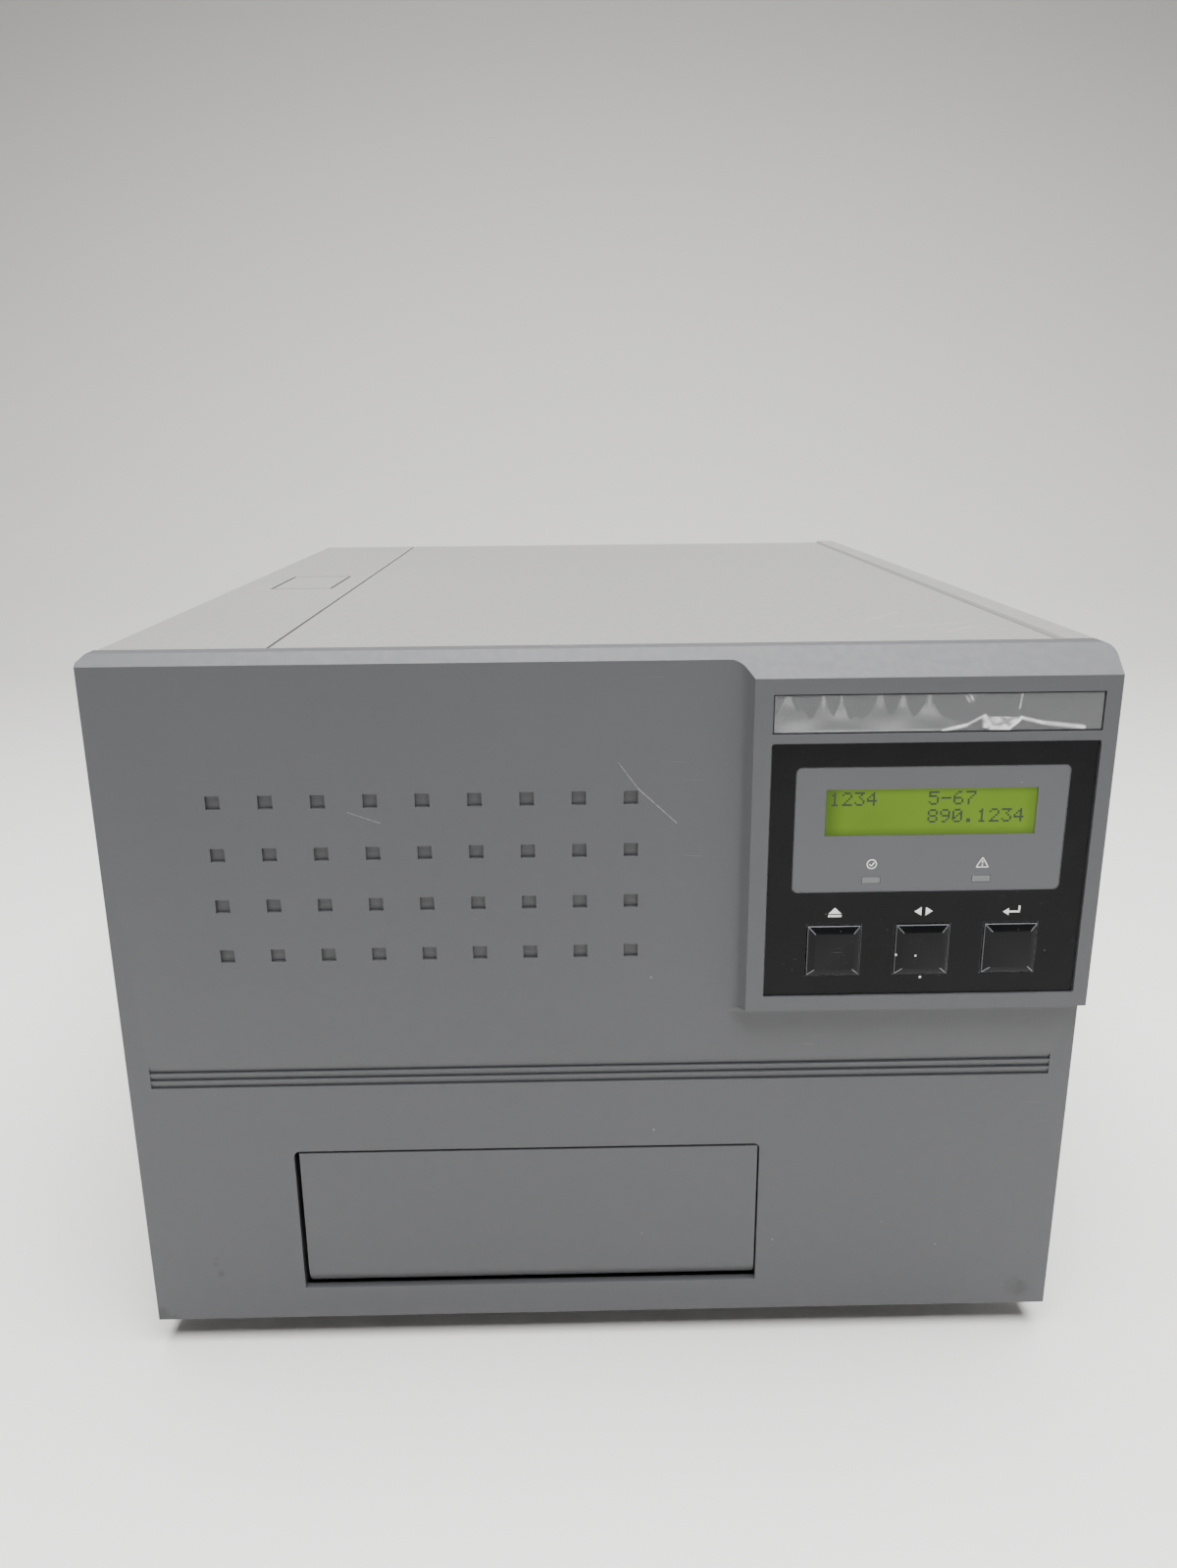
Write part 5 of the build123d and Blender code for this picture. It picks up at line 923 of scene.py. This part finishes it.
@dataclass
class Casing:
    """Front bezel, flap, covers, side door, latch button and spring."""

    grey: Colour = (0.0635, 0.065, 0.070)
    cover: Colour = (0.212, 0.210, 0.201)
    edge_mm: float = 0.30
    cover_edge_mm: float = 0.22
    seam_mm: float = 0.32
    latch_travel: float = 2.5 * MM
    spring_wire: float = 0.49 * MM
    spring_turns: float = 6.0
    face: float = -170.5 * MM
    cover_drop: float = 0.8 * MM

    def build(self) -> None:
        """Soften the shells and give them their greys."""
        low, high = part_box("front_bezel")
        face = self.face
        marks = (
            Scratch((0.0050, face, 0.1888), (0.0105, face, 0.1812), 0.24, 0.15),
            Scratch((0.0105, face, 0.1812), (0.0212, face, 0.1712), 0.26, 0.20),
            Scratch((-0.0700, face, 0.1755), (-0.0610, face, 0.1722), 0.24, 0.13),
        )
        smudges = (
            Spot((-0.1195, face, 0.0300), 0.8, 1.6, 0.55),
            Spot((-0.1190, face, 0.0255), 0.5, 1.2, 0.45),
            Spot((0.1310, face, 0.0150), 1.5, 4.0, 0.45),
            Spot((-0.1375, face, 0.0105), 2.0, 4.0, 0.50),
        )
        shell = MouldedGrey("case_grey_moulded", self.grey, scratches=marks, smudges=smudges).make()
        # Rounded edges of the bezel and flap: a little edge wear, but mostly a painted highlight, about 2.6
        # times lighter than the face, that lights the ledges of the pockets and grooves.
        edge_finish = MouldedGrey("case_grey_worn_and_highlit_edge", self.grey, roughness=0.40, edge_highlight=1.6).make()
        softened("front_bezel flap", self.edge_mm, shell, edge_finish)
        top = high.z
        cover_top = top - self.cover_drop
        scuffs = tuple(
            Scratch((x, y, cover_top), (x + dx, y + dy, cover_top), 0.3, 0.5)
            for x, y, dx, dy in (
                (-0.0810, -0.1380, 0.0110, 0.0010),
                (-0.0780, -0.1330, 0.0040, -0.0020),
                (0.0840, -0.1180, 0.0160, 0.0200),
                (0.1020, -0.1420, 0.0120, 0.0120),
                (0.0900, -0.1300, 0.0220, 0.0060),
            )
        )
        chips = (Spot((-0.0995, low.y + 0.0150, top - 0.0010), 0.9, 0.8, 0.95),)
        paint = MouldedGrey("cover_grey_paint", self.cover, 0.6, 0.014, 0.36, scratches=scuffs, chips=chips)
        cover = paint.make()
        rim = MouldedGrey("cover_grey_worn_edge", self.cover, 0.6, 0.010, 0.36).make()
        # The rounded edges of the side door, top panel and latch button are painted far darker: painted shade
        # in the seams between them and their neighbours.
        seam_shade = times(self.cover, 0.22)
        seam_shade_finish = MouldedGrey("cover_grey_painted_seam_shade", seam_shade, 0.6, 0.010, 0.5).make()
        softened("right_cover rear_panel", self.cover_edge_mm, cover, rim)
        softened("side_door top_panel", self.seam_mm, cover, seam_shade_finish)
        softened("latch_button", self.seam_mm * 1.5, cover, seam_shade_finish)
        self._latch_spring()

    def _latch_spring(self) -> None:
        """Wind the latch's spring, at the fixed length of its CAD node.

        The wire's centre runs round a circle while it rises, at a rate that swings a little about the even
        pitch: faster at both ends and in the middle, slower between. The wire is a tube of rings that stay
        upright and radial.
        """
        low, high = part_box("latch_spring")
        centre_x, centre_y = (low.x + high.x) / 2, (low.y + high.y) / 2
        wire = self.spring_wire
        mean_radius = (high.x - low.x) / 2 - wire
        steps, sides = 300, 12
        share = np.linspace(0.0, 1.0, steps)
        rise = share + np.sin(4 * math.pi * share - math.pi) * -0.06
        angle = 2 * math.pi * self.spring_turns * share
        height = low.z + wire + np.clip(rise, 0.0, 1.0) * (high.z - low.z - 2 * wire)
        around = np.linspace(0.0, 2 * math.pi, sides, endpoint=False)
        reach = mean_radius + wire * np.cos(around)[None, :]
        x = centre_x + reach * np.cos(angle)[:, None]
        y = centre_y + reach * np.sin(angle)[:, None]
        z = height[:, None] + wire * np.sin(around)[None, :]
        faces = tube_faces(steps, sides)
        faces += [list(range(sides)), list(range(steps * sides - 1, (steps - 1) * sides - 1, -1))]
        steel = SheetMetal("spring_wire", (0.52, 0.52, 0.52), 0.24, 0.0).make()
        body = frame["nodes"]["latch_spring"]["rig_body"]
        points = np.stack([x, y, z], -1).reshape(-1, 3)
        spring = new_piece(Tag("latch_spring_coil", body, steel, "steel"), points, faces)
        outwards(spring)
        spring.data.shade_smooth()
        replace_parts(spring, "latch_spring")
        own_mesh(spring)


@dataclass
class ControlPod:
    """Name plate, black panel, window, display, lamps and buttons."""

    pitch_mm: float = 3.42
    dot_mm: float = 0.56
    dot_share: float = 0.97
    row_mm: float = 5.15
    first_dot_mm: Pair = (1.1, -0.9)
    display_margin: float = 5.5 * MM
    glass: float = 0.2 * MM
    film_inset: float = 0.2 * MM
    film_thickness: float = 0.02 * MM
    plate_aspect: float = 8.2

    GLYPHS = {
        "0": "01110 10001 10011 10101 11001 10001 01110",
        "1": "00100 01100 00100 00100 00100 00100 01110",
        "2": "01110 10001 00001 00010 00100 01000 11111",
        "3": "11111 00010 00100 00010 00001 10001 01110",
        "4": "00010 00110 01010 10010 11111 00010 00010",
        "5": "11111 10000 11110 00001 00001 10001 01110",
        "6": "00110 01000 10000 11110 10001 10001 01110",
        "7": "11111 00001 00010 00100 01000 01000 01000",
        "8": "01110 10001 10001 01110 10001 10001 01110",
        "9": "01110 10001 10001 01111 00001 00010 01100",
        "-": "00000 00000 00000 11111 00000 00000 00000",
        ".": "00000 00000 00000 00000 00000 01100 01100",
        " ": "00000 00000 00000 00000 00000 00000 00000",
    }
    ROWS = ("1234    5-67", "        890.1234")
    SIGNS = {
        # a triangle over a bar
        "eject_button": (
            (Marks.shape, [(-1.9, 1.0), (1.9, 1.0), (0.0, 2.9)]),
            (Marks.bar, (-1.9, 0.35), (1.9, 0.35), 0.65),
        ),
        # two triangles that point apart
        "select_button": (
            (Marks.shape, [(-2.6, 1.4), (-0.6, 0.1), (-0.6, 2.7)]),
            (Marks.shape, [(0.6, 0.1), (2.6, 1.4), (0.6, 2.7)]),
        ),
        # an arrow that turns back to the left
        "enter_button": (
            (Marks.shape, [(-2.6, 0.9), (-0.9, -0.2), (-0.9, 2.0)]),
            (Marks.bar, (-1.0, 0.9), (2.3, 0.9), 0.55),
            (Marks.bar, (2.02, 0.9), (2.02, 2.7), 0.55),
        ),
        # a tick in a ring
        "ready_lamp": (
            (Marks.ring, (0.0, 1.0), 1.15, 1.45, 40),
            (Marks.bar, (-0.7, 1.0), (-0.1, 0.45), 0.32),
            (Marks.bar, (-0.15, 0.40), (0.75, 1.55), 0.32),
        ),
        # a bar and a dot in a triangle of three bars
        "fault_lamp": (
            (Marks.bar, (-1.7, -0.35), (1.7, -0.35), 0.30),
            (Marks.bar, (1.7, -0.35), (0.0, 2.55), 0.30),
            (Marks.bar, (0.0, 2.55), (-1.7, -0.35), 0.30),
            (Marks.bar, (0.0, 0.75), (0.0, 1.65), 0.34),
            (Marks.disc, (0.0, 0.25), 0.22, 12),
        ),
    }
    # the loose film, in shares (u, v) of the plate's width and height: columns as (u, width), the corners
    # of the crumpled patch, and folds as (start, end, width, brightness)
    COLUMNS = ((0.040, 0.020), (0.148, 0.014), (0.202, 0.010), (0.318, 0.017), (0.388, 0.015), (0.468, 0.018))
    CRUMPLE = ((0.630, 0.40), (0.636, 0.08), (0.725, 0.05), (0.760, 0.36))
    FOLDS = (
        ((0.515, 0.03), (0.585, 0.16), 0.030, 0.95),
        ((0.585, 0.16), (0.640, 0.42), 0.022, 0.90),
        ((0.640, 0.36), (0.662, 0.10), 0.045, 1.00),
        ((0.662, 0.10), (0.715, 0.06), 0.050, 0.85),
        ((0.715, 0.06), (0.752, 0.34), 0.030, 1.00),
        ((0.752, 0.34), (0.820, 0.20), 0.030, 0.90),
        ((0.820, 0.20), (0.945, 0.07), 0.035, 0.95),
        ((0.744, 0.60), (0.748, 1.00), 0.018, 0.60),
        ((0.030, 0.04), (0.500, 0.05), 0.030, 0.45),
    )

    def build(self) -> None:
        """Dress the pod's pieces and add the display, the legends and the loose film."""
        chips = (
            Spot((0.0838, -0.1750, 0.1322), 0.35, 0.15, 1.0),
            Spot((0.0892, -0.1760, 0.1322), 0.22, 0.12, 1.0),
            Spot((0.0914, -0.1746, 0.1249), 0.28, 0.15, 1.0),
        )
        panel = BlackPanel("panel_gloss_black", chips=chips).make()
        # The rounded edges of the panel and of the button caps are painted a lighter grey: a painted
        # highlight where the edges catch the light.
        edge = BlackPanel("panel_black_painted_highlight_edge", (0.095, 0.099, 0.108), 0.24, ior=1.45).make()
        caps = BlackPanel("button_black", (0.0016, 0.0018, 0.0022), 0.30, ior=1.25, chips=chips).make()
        softened("control_panel", 0.22, panel, edge)
        softened("eject_button select_button enter_button", 0.16, caps, edge)
        film = WindowFilm("window_overlay_grey").make()
        softened("display_window", 0.10, film, film)
        plate = MouldedGrey("name_plate_grey", (0.074, 0.076, 0.080), 0.9, 0.004, 0.24, dust=0.1).make()
        softened("name_plate", 0.15, plate, plate)
        lamp = PlainMoulding("lamp_light_pipe", (0.118, 0.121, 0.126), 0.32).make()
        softened("ready_lamp fault_lamp", 0.12, lamp, lamp)
        self._display()
        self._legends()
        self._loose_film()

    def _display(self) -> None:
        """Lay the lit glass on the display's front and write the digits on it in dots."""
        low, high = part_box("lcd_screen")
        left, right = low.x + self.display_margin, high.x - self.display_margin
        bottom, top = low.z + self.display_margin, high.z - self.display_margin
        lit = BacklitDisplay("display_backlit_green", left, right - left, bottom, top - bottom).make()
        glass = Sheet((left, bottom), (right, top), (9, 5))
        front = np.full(glass.x.shape, low.y - self.glass)
        glass.piece(Tag("display_glass", "chassis", lit, "lcd_green"), front, self.glass)
        dots = Marks((left, low.y - self.glass, top))
        size = self.dot_mm * self.dot_share
        start_x, start_z = self.first_dot_mm
        for row, text in enumerate(self.ROWS):
            for column, letter in enumerate(text):
                cells = self.GLYPHS[letter].split()
                for line, cell in enumerate(cells):
                    for step, mark in enumerate(cell):
                        if mark == "1":
                            x = start_x + column * self.pitch_mm + step * self.dot_mm
                            z = start_z - row * self.row_mm - line * self.dot_mm
                            dots.shape([(x, z - size), (x + size, z - size), (x + size, z), (x, z)])
        ink = Ink("digit_ink", (0.010, 0.026, 0.003), 0.5).make()
        dots.piece(Tag("display_digits", "chassis", ink, "lcd_green"))

    def _legends(self) -> None:
        """Print a pictogram over each lamp and each button."""
        white = Ink("legend_white", (0.74, 0.74, 0.73)).make()
        panel = ("control_panel", 1.6, "panel_black")
        window = ("display_window", 2.8, "window_grey")
        for node, strokes in self.SIGNS.items():
            behind, lift_mm, slot = panel if node.endswith("_button") else window
            low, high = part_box(node)
            signs = Marks(((low.x + high.x) / 2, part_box(behind)[0].y, high.z + lift_mm * MM))
            for stroke, *given in strokes:
                stroke(signs, *given)
            signs.piece(Tag(f"{node}_sign", "chassis", white, slot))

    def _loose_film(self) -> None:
        """Lay the wrinkled protective film on the name plate.

        Each point has a crease value from 0 to 1. On the left it is milky below arches: the arch's height at
        u is its foot plus bells centred on the columns where the film hangs from the top edge. On the right
        it is a crumpled patch with bright folds, each a bell of the distance to a line. The film stands
        proud of the plate by an amount that grows with the crease value.
        """
        low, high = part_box("name_plate")
        near, far = low.x + self.film_inset, high.x - self.film_inset
        film = Sheet((near, low.z + self.film_inset), (far, high.z - self.film_inset), (460, 60))
        u = (film.x - low.x) / (high.x - low.x)
        v = (film.z - low.z) / (high.z - low.z)
        arch = 0.40 + 0.05 * np.sin(55.0 * u) + 0.04 * np.sin(131.0 * u + 1.0)
        for centre, width in self.COLUMNS:
            bell = np.exp(-((np.abs(u - centre) / (width * (1.9 - 0.9 * v))) ** 1.5))
            arch = np.maximum(arch, 0.36 + 0.85 * bell)
        peak = 0.62 + 0.10 * np.sin(95.0 * u) - 1.5 * np.abs(u - 0.06)
        arch = np.where(u < 0.13, np.maximum(arch, peak), arch)
        hazy = np.clip((arch - v) / 0.10, 0.0, 1.0) * np.clip((0.60 - u) / 0.06, 0.0, 1.0)
        crease = hazy * (0.32 + 0.10 * np.sin(23.0 * u) * np.sin(9.0 * v))
        for centre, width in self.COLUMNS[1:]:
            lit = np.exp(-(((u - centre) / (width * 0.6)) ** 2)) * np.clip((v - 0.30) / 0.4, 0.0, 1.0)
            crease = np.maximum(crease, 0.44 * lit)
        patch = self._within(u, v, self.CRUMPLE)
        facets = np.abs(np.sin(60.0 * u + 7.0 * v)) * np.abs(np.sin(37.0 * u - 9.0 * v + 1.3))
        crease = np.maximum(crease, patch * (0.42 + 0.5 * facets))
        crumb = np.exp(-(((u - 0.592) / 0.020) ** 2) - ((v - 0.88) / 0.16) ** 2)
        crease = np.maximum(crease, crumb * (0.25 + 0.5 * np.abs(np.sin(210.0 * u + 13.0 * v))))
        for start, end, width, bright in self.FOLDS:
            crease = np.maximum(crease, bright * self._line(u, v, start, end, width))
        front = low.y - (0.05 + 0.30 * crease + 0.25 * patch * facets) * MM
        finish = LooseFilm("loose_clear_film").make()
        tag = Tag("plate_film", "chassis", finish, "plate_grey")
        piece = film.piece(tag, front, self.film_thickness)
        attribute = piece.data.attributes.new("crease", "FLOAT", "POINT")
        both = np.concatenate([crease.ravel(), crease.ravel()]).astype(np.float32)
        attribute.data.foreach_set("value", both)
        piece.data.shade_smooth()

    @staticmethod
    def _within(u: np.ndarray, v: np.ndarray, corners: Sequence[Pair]) -> np.ndarray:
        """Mask of a convex patch: the product of soft steps on the inner side of each of its edges."""
        mask = np.ones_like(u)
        middle = np.mean(corners, axis=0)
        for a, b in zip(corners, corners[1:] + corners[:1]):
            normal = np.array([-(b[1] - a[1]), (b[0] - a[0])])
            normal = normal * np.sign(normal @ (middle - a)) / np.linalg.norm(normal)
            mask = mask * np.clip(((u - a[0]) * normal[0] + (v - a[1]) * normal[1]) / 0.012 + 0.5, 0.0, 1.0)
        return mask

    def _line(
        self, u: np.ndarray, v: np.ndarray, start: Pair, end: Pair, width: float
    ) -> np.ndarray:
        """Bell of the distance from a line, on a plate plate_aspect times as wide as it is high."""
        aspect = self.plate_aspect
        a, b = np.array([start[0] * aspect, start[1]]), np.array([end[0] * aspect, end[1]])
        along = b - a
        share = np.clip(((u * aspect - a[0]) * along[0] + (v - a[1]) * along[1]) / (along @ along), 0.0, 1.0)
        distance = np.hypot(u * aspect - a[0] - share * along[0], v - a[1] - share * along[1])
        return np.exp(-((distance / (width * 2.0)) ** 2))


@dataclass
class TrayAndDrive:
    """Disc tray, rails, rack, gears and motor."""

    boss: float = 1.5 * MM
    cap: float = 7.0 * MM
    overlap: float = 0.4 * MM

    def build(self) -> None:
        """Dress the tray and its drive."""
        black = PlainMoulding("tray_moulding", (0.028, 0.028, 0.030), 0.46).make()
        lighter = PlainMoulding("tray_moulding_edge", (0.060, 0.060, 0.063), 0.40).make()
        softened("disc_tray", 0.35, black, lighter)
        softened("tray_rail_left tray_rail_right", 0.20, black, lighter)
        acetal = PlainMoulding("gear_acetal", (0.68, 0.67, 0.62), 0.35).make()
        dress("tray_rack drive_gear motor_gear", acetal)
        self._motor()

    def _motor(self) -> None:
        """Turn the motor's can, with a rolled front rim and a rear boss, and its black rear cap."""
        axle = Axle("tray_motor")
        boss = axle.end - self.boss
        cap = boss - self.cap
        steel = SheetMetal("motor_can", (0.46, 0.46, 0.47), 0.30, 0.0).make()
        black = PlainMoulding("motor_cap", (0.020, 0.020, 0.022), 0.40).make()
        can = turned("motor_can", rounded_rod(axle.start, cap, axle.radius, 1.6), axle, steel, "steel")
        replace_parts(can, "tray_motor")
        end = rounded_rod(cap - self.overlap, boss, axle.radius - 0.15 * MM, 1.0)
        turned("motor_rear_cap", end, axle, black, "steel")
        tip = rounded_rod(boss - self.overlap, axle.end, axle.radius / 2, 0.6)
        turned("motor_rear_boss", tip, axle, steel, "steel")


class Web(Enum):
    """What is wound on a spool; the value is the record's material slot."""

    FILM = "film_clear"
    RIBBON = "ribbon_black"


@dataclass(frozen=True)
class Roll:
    """A roll of web on a spool of a cassette, named by the spool's node."""

    node: str
    web: Web
    colour: Colour
    roughness: float


@dataclass
class Mechanism:
    """Frames, rollers, print head, cassettes, electronics and rear fittings."""

    core_radius: float = 9.0 * MM
    stub_radius: float = 4.0 * MM
    stub_length: float = 4.0 * MM
    flange_width: float = 1.5 * MM
    shaft_radius: float = 3.0 * MM
    roller_margin: float = 9.0 * MM
    board_lift: float = 8.0 * MM
    board_thickness: float = 1.6 * MM
    front_row: float = 14.0 * MM
    middle_row: float = 20.0 * MM
    rear_row: float = 34.0 * MM
    part_lid: float = 0.3 * MM
    inlet_wall: float = 6.0 * MM
    inlet_face: float = 2.2 * MM

    ROLLS = (
        Roll("film_supply_spool", Web.FILM, (0.56, 0.58, 0.60), 0.16),
        Roll("film_takeup_spool", Web.FILM, (0.50, 0.52, 0.54), 0.18),
        Roll("ribbon_supply_spool", Web.RIBBON, (0.020, 0.020, 0.024), 0.22),
        Roll("ribbon_takeup_spool", Web.RIBBON, (0.030, 0.028, 0.032), 0.26),
    )

    def build(self) -> None:
        """Dress every remaining node."""
        self._metal()
        self._rollers()
        self._cassettes()
        self._electronics()
        self._rear()

    def _metal(self) -> None:
        """Plate the frames and shafts and anodise the print head."""
        steel = SheetMetal("plated_steel").make()
        edge = SheetMetal("plated_steel_edge", (0.60, 0.61, 0.62), 0.28, 0.0).make()
        shafts = SheetMetal("ground_steel", (0.58, 0.58, 0.58), 0.22, 0.0).make()
        softened("left_frame right_frame base_pan", 0.15, steel, edge)
        dress("top_rails latch_strike hinge_lugs", steel)
        dress("gear_axle flap_pins head_pivot_rod door_hinge_pins rear_screws", shafts)
        supply = SheetMetal("supply_galvanised", (0.62, 0.62, 0.60), 0.40, 0.9).make()
        softened("power_supply", 0.30, supply, edge)
        aluminium = SheetMetal("head_anodised", (0.66, 0.67, 0.68), 0.30, 0.0, (300.0, 4.0, 4.0)).make()
        bright = SheetMetal("head_aluminium_edge", (0.78, 0.79, 0.80), 0.24, 0.0, (300.0, 4.0, 4.0)).make()
        softened("print_head", 0.25, aluminium, bright)

    def _rollers(self) -> None:
        """Turn a rubber sleeve and a steel shaft for each roller."""
        steel = SheetMetal("roller_steel", (0.58, 0.58, 0.58), 0.20, 0.0).make()
        rubber = PlainMoulding("roller_rubber", (0.022, 0.022, 0.022), 0.60, 0.5, 0.02).make()
        silicone = PlainMoulding("heat_silicone", (0.20, 0.030, 0.018), 0.42, 0.5, 0.01).make()
        for node, sleeve in (("platen_roller", rubber), ("heat_roller", silicone)):
            axle = Axle(node)
            left, right = axle.start + self.roller_margin, axle.end - self.roller_margin
            outline = rounded_rod(left, right, axle.radius, 0.8)
            cover = turned(f"{node}_sleeve", outline, axle, sleeve, "rubber_black")
            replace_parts(cover, node)
            shaft = rounded_rod(axle.start, axle.end, self.shaft_radius, 0.5)
            turned(f"{node}_shaft", shaft, axle, steel, "rubber_black")

    def _cassettes(self) -> None:
        """Wind each roll on a light core and dress the cassettes' ends and bars."""
        light = PlainMoulding("core_white", (0.66, 0.65, 0.60), 0.38).make()
        for roll in self.ROLLS:
            axle, slot = Axle(roll.node), roll.web.value
            inner, outer = axle.start + self.stub_length, axle.end - self.stub_length
            web = WoundWeb(f"{roll.node}_web", roll.colour, roll.roughness, axle.centre).make()
            winding = rounded_rod(inner + self.flange_width, outer - self.flange_width, axle.radius, 0.4)
            wound = turned(f"{roll.node}_winding", winding, axle, web, slot)
            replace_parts(wound, roll.node)
            core = rounded_rod(inner, outer, self.core_radius, 0.5)
            turned(f"{roll.node}_core", core, axle, light, slot)
            pins = rounded_rod(axle.start, axle.end, self.stub_radius, 0.6)
            turned(f"{roll.node}_pins", pins, axle, light, slot)
        moulding = PlainMoulding("cassette_moulding", (0.035, 0.035, 0.038), 0.40).make()
        edge = PlainMoulding("cassette_moulding_edge", (0.075, 0.075, 0.078), 0.36).make()
        for cassette in ("film_cassette", "ribbon_cassette"):
            ends = f"{cassette}_outer_end {cassette}_inner_end"
            softened(ends, 0.25, moulding, edge)
        dress("film_cassette_bars ribbon_cassette_bars", light)

    def _electronics(self) -> None:
        """Give the boards their solder mask and components."""
        low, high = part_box("main_board")
        face = low.x + self.board_lift + self.board_thickness
        far = high.x + MM
        front, back = low.y, high.y
        middle = (front + back) / 2
        rear, lid = back - self.rear_row, high.x - self.part_lid
        near, beyond = middle - self.middle_row, middle + self.middle_row
        parts = (
            Zone((face, front, low.z), (far, front + self.front_row, high.z), (0.62, 0.60, 0.52)),
            Zone((face, near, low.z), (far, beyond, high.z), (0.016, 0.016, 0.018)),
            Zone((face, rear, low.z), (far, back, high.z), (0.012, 0.020, 0.085)),
            Zone((lid, rear, low.z), (far, back, high.z), (0.55, 0.56, 0.57)),
        )
        dress("main_board", CircuitBoard("main_board_mask", zones=parts).make())
        dress("display_board key_board", CircuitBoard("front_board_mask").make())
        dress("lcd_screen", PlainMoulding("display_frame", (0.05, 0.05, 0.05), 0.4).make())

    def _rear(self) -> None:
        """Dress the feet, the fan and the rear sockets and switch."""
        dress("feet", PlainMoulding("foot_rubber", (0.022, 0.022, 0.022), 0.62, 0.5, 0.02).make())
        low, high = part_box("mains_inlet")
        wall = self.inlet_wall
        start = (low.x + wall, low.y + self.inlet_face, low.z + wall)
        end = (high.x - wall, high.y, high.z - wall)
        blades = Zone(start, end, (0.72, 0.70, 0.66), 1.0)
        inlet = PlainMoulding("inlet_moulding", (0.024, 0.024, 0.026), 0.36, zones=(blades,)).make()
        fittings = PlainMoulding("fitting_moulding", (0.030, 0.030, 0.032), 0.38).make()
        edge = PlainMoulding("fitting_moulding_edge", (0.070, 0.070, 0.074), 0.34).make()
        softened("mains_inlet", 0.25, inlet, edge)
        softened("fan_frame fan_rotor switch_housing switch_rocker", 0.22, fittings, edge)
        shell = SheetMetal("port_shell", (0.60, 0.60, 0.58), 0.30, 0.0).make()
        softened("data_port", 0.15, shell, shell)


def main() -> None:
    """Build the studio and the printer; the pieces are reported in the log."""
    logging.basicConfig(level=logging.INFO, format="%(name)s: %(message)s")
    Studio().build()
    for assembly in (Casing(), ControlPod(), TrayAndDrive(), Mechanism()):
        assembly.build()


if __name__ == "__main__":
    main()
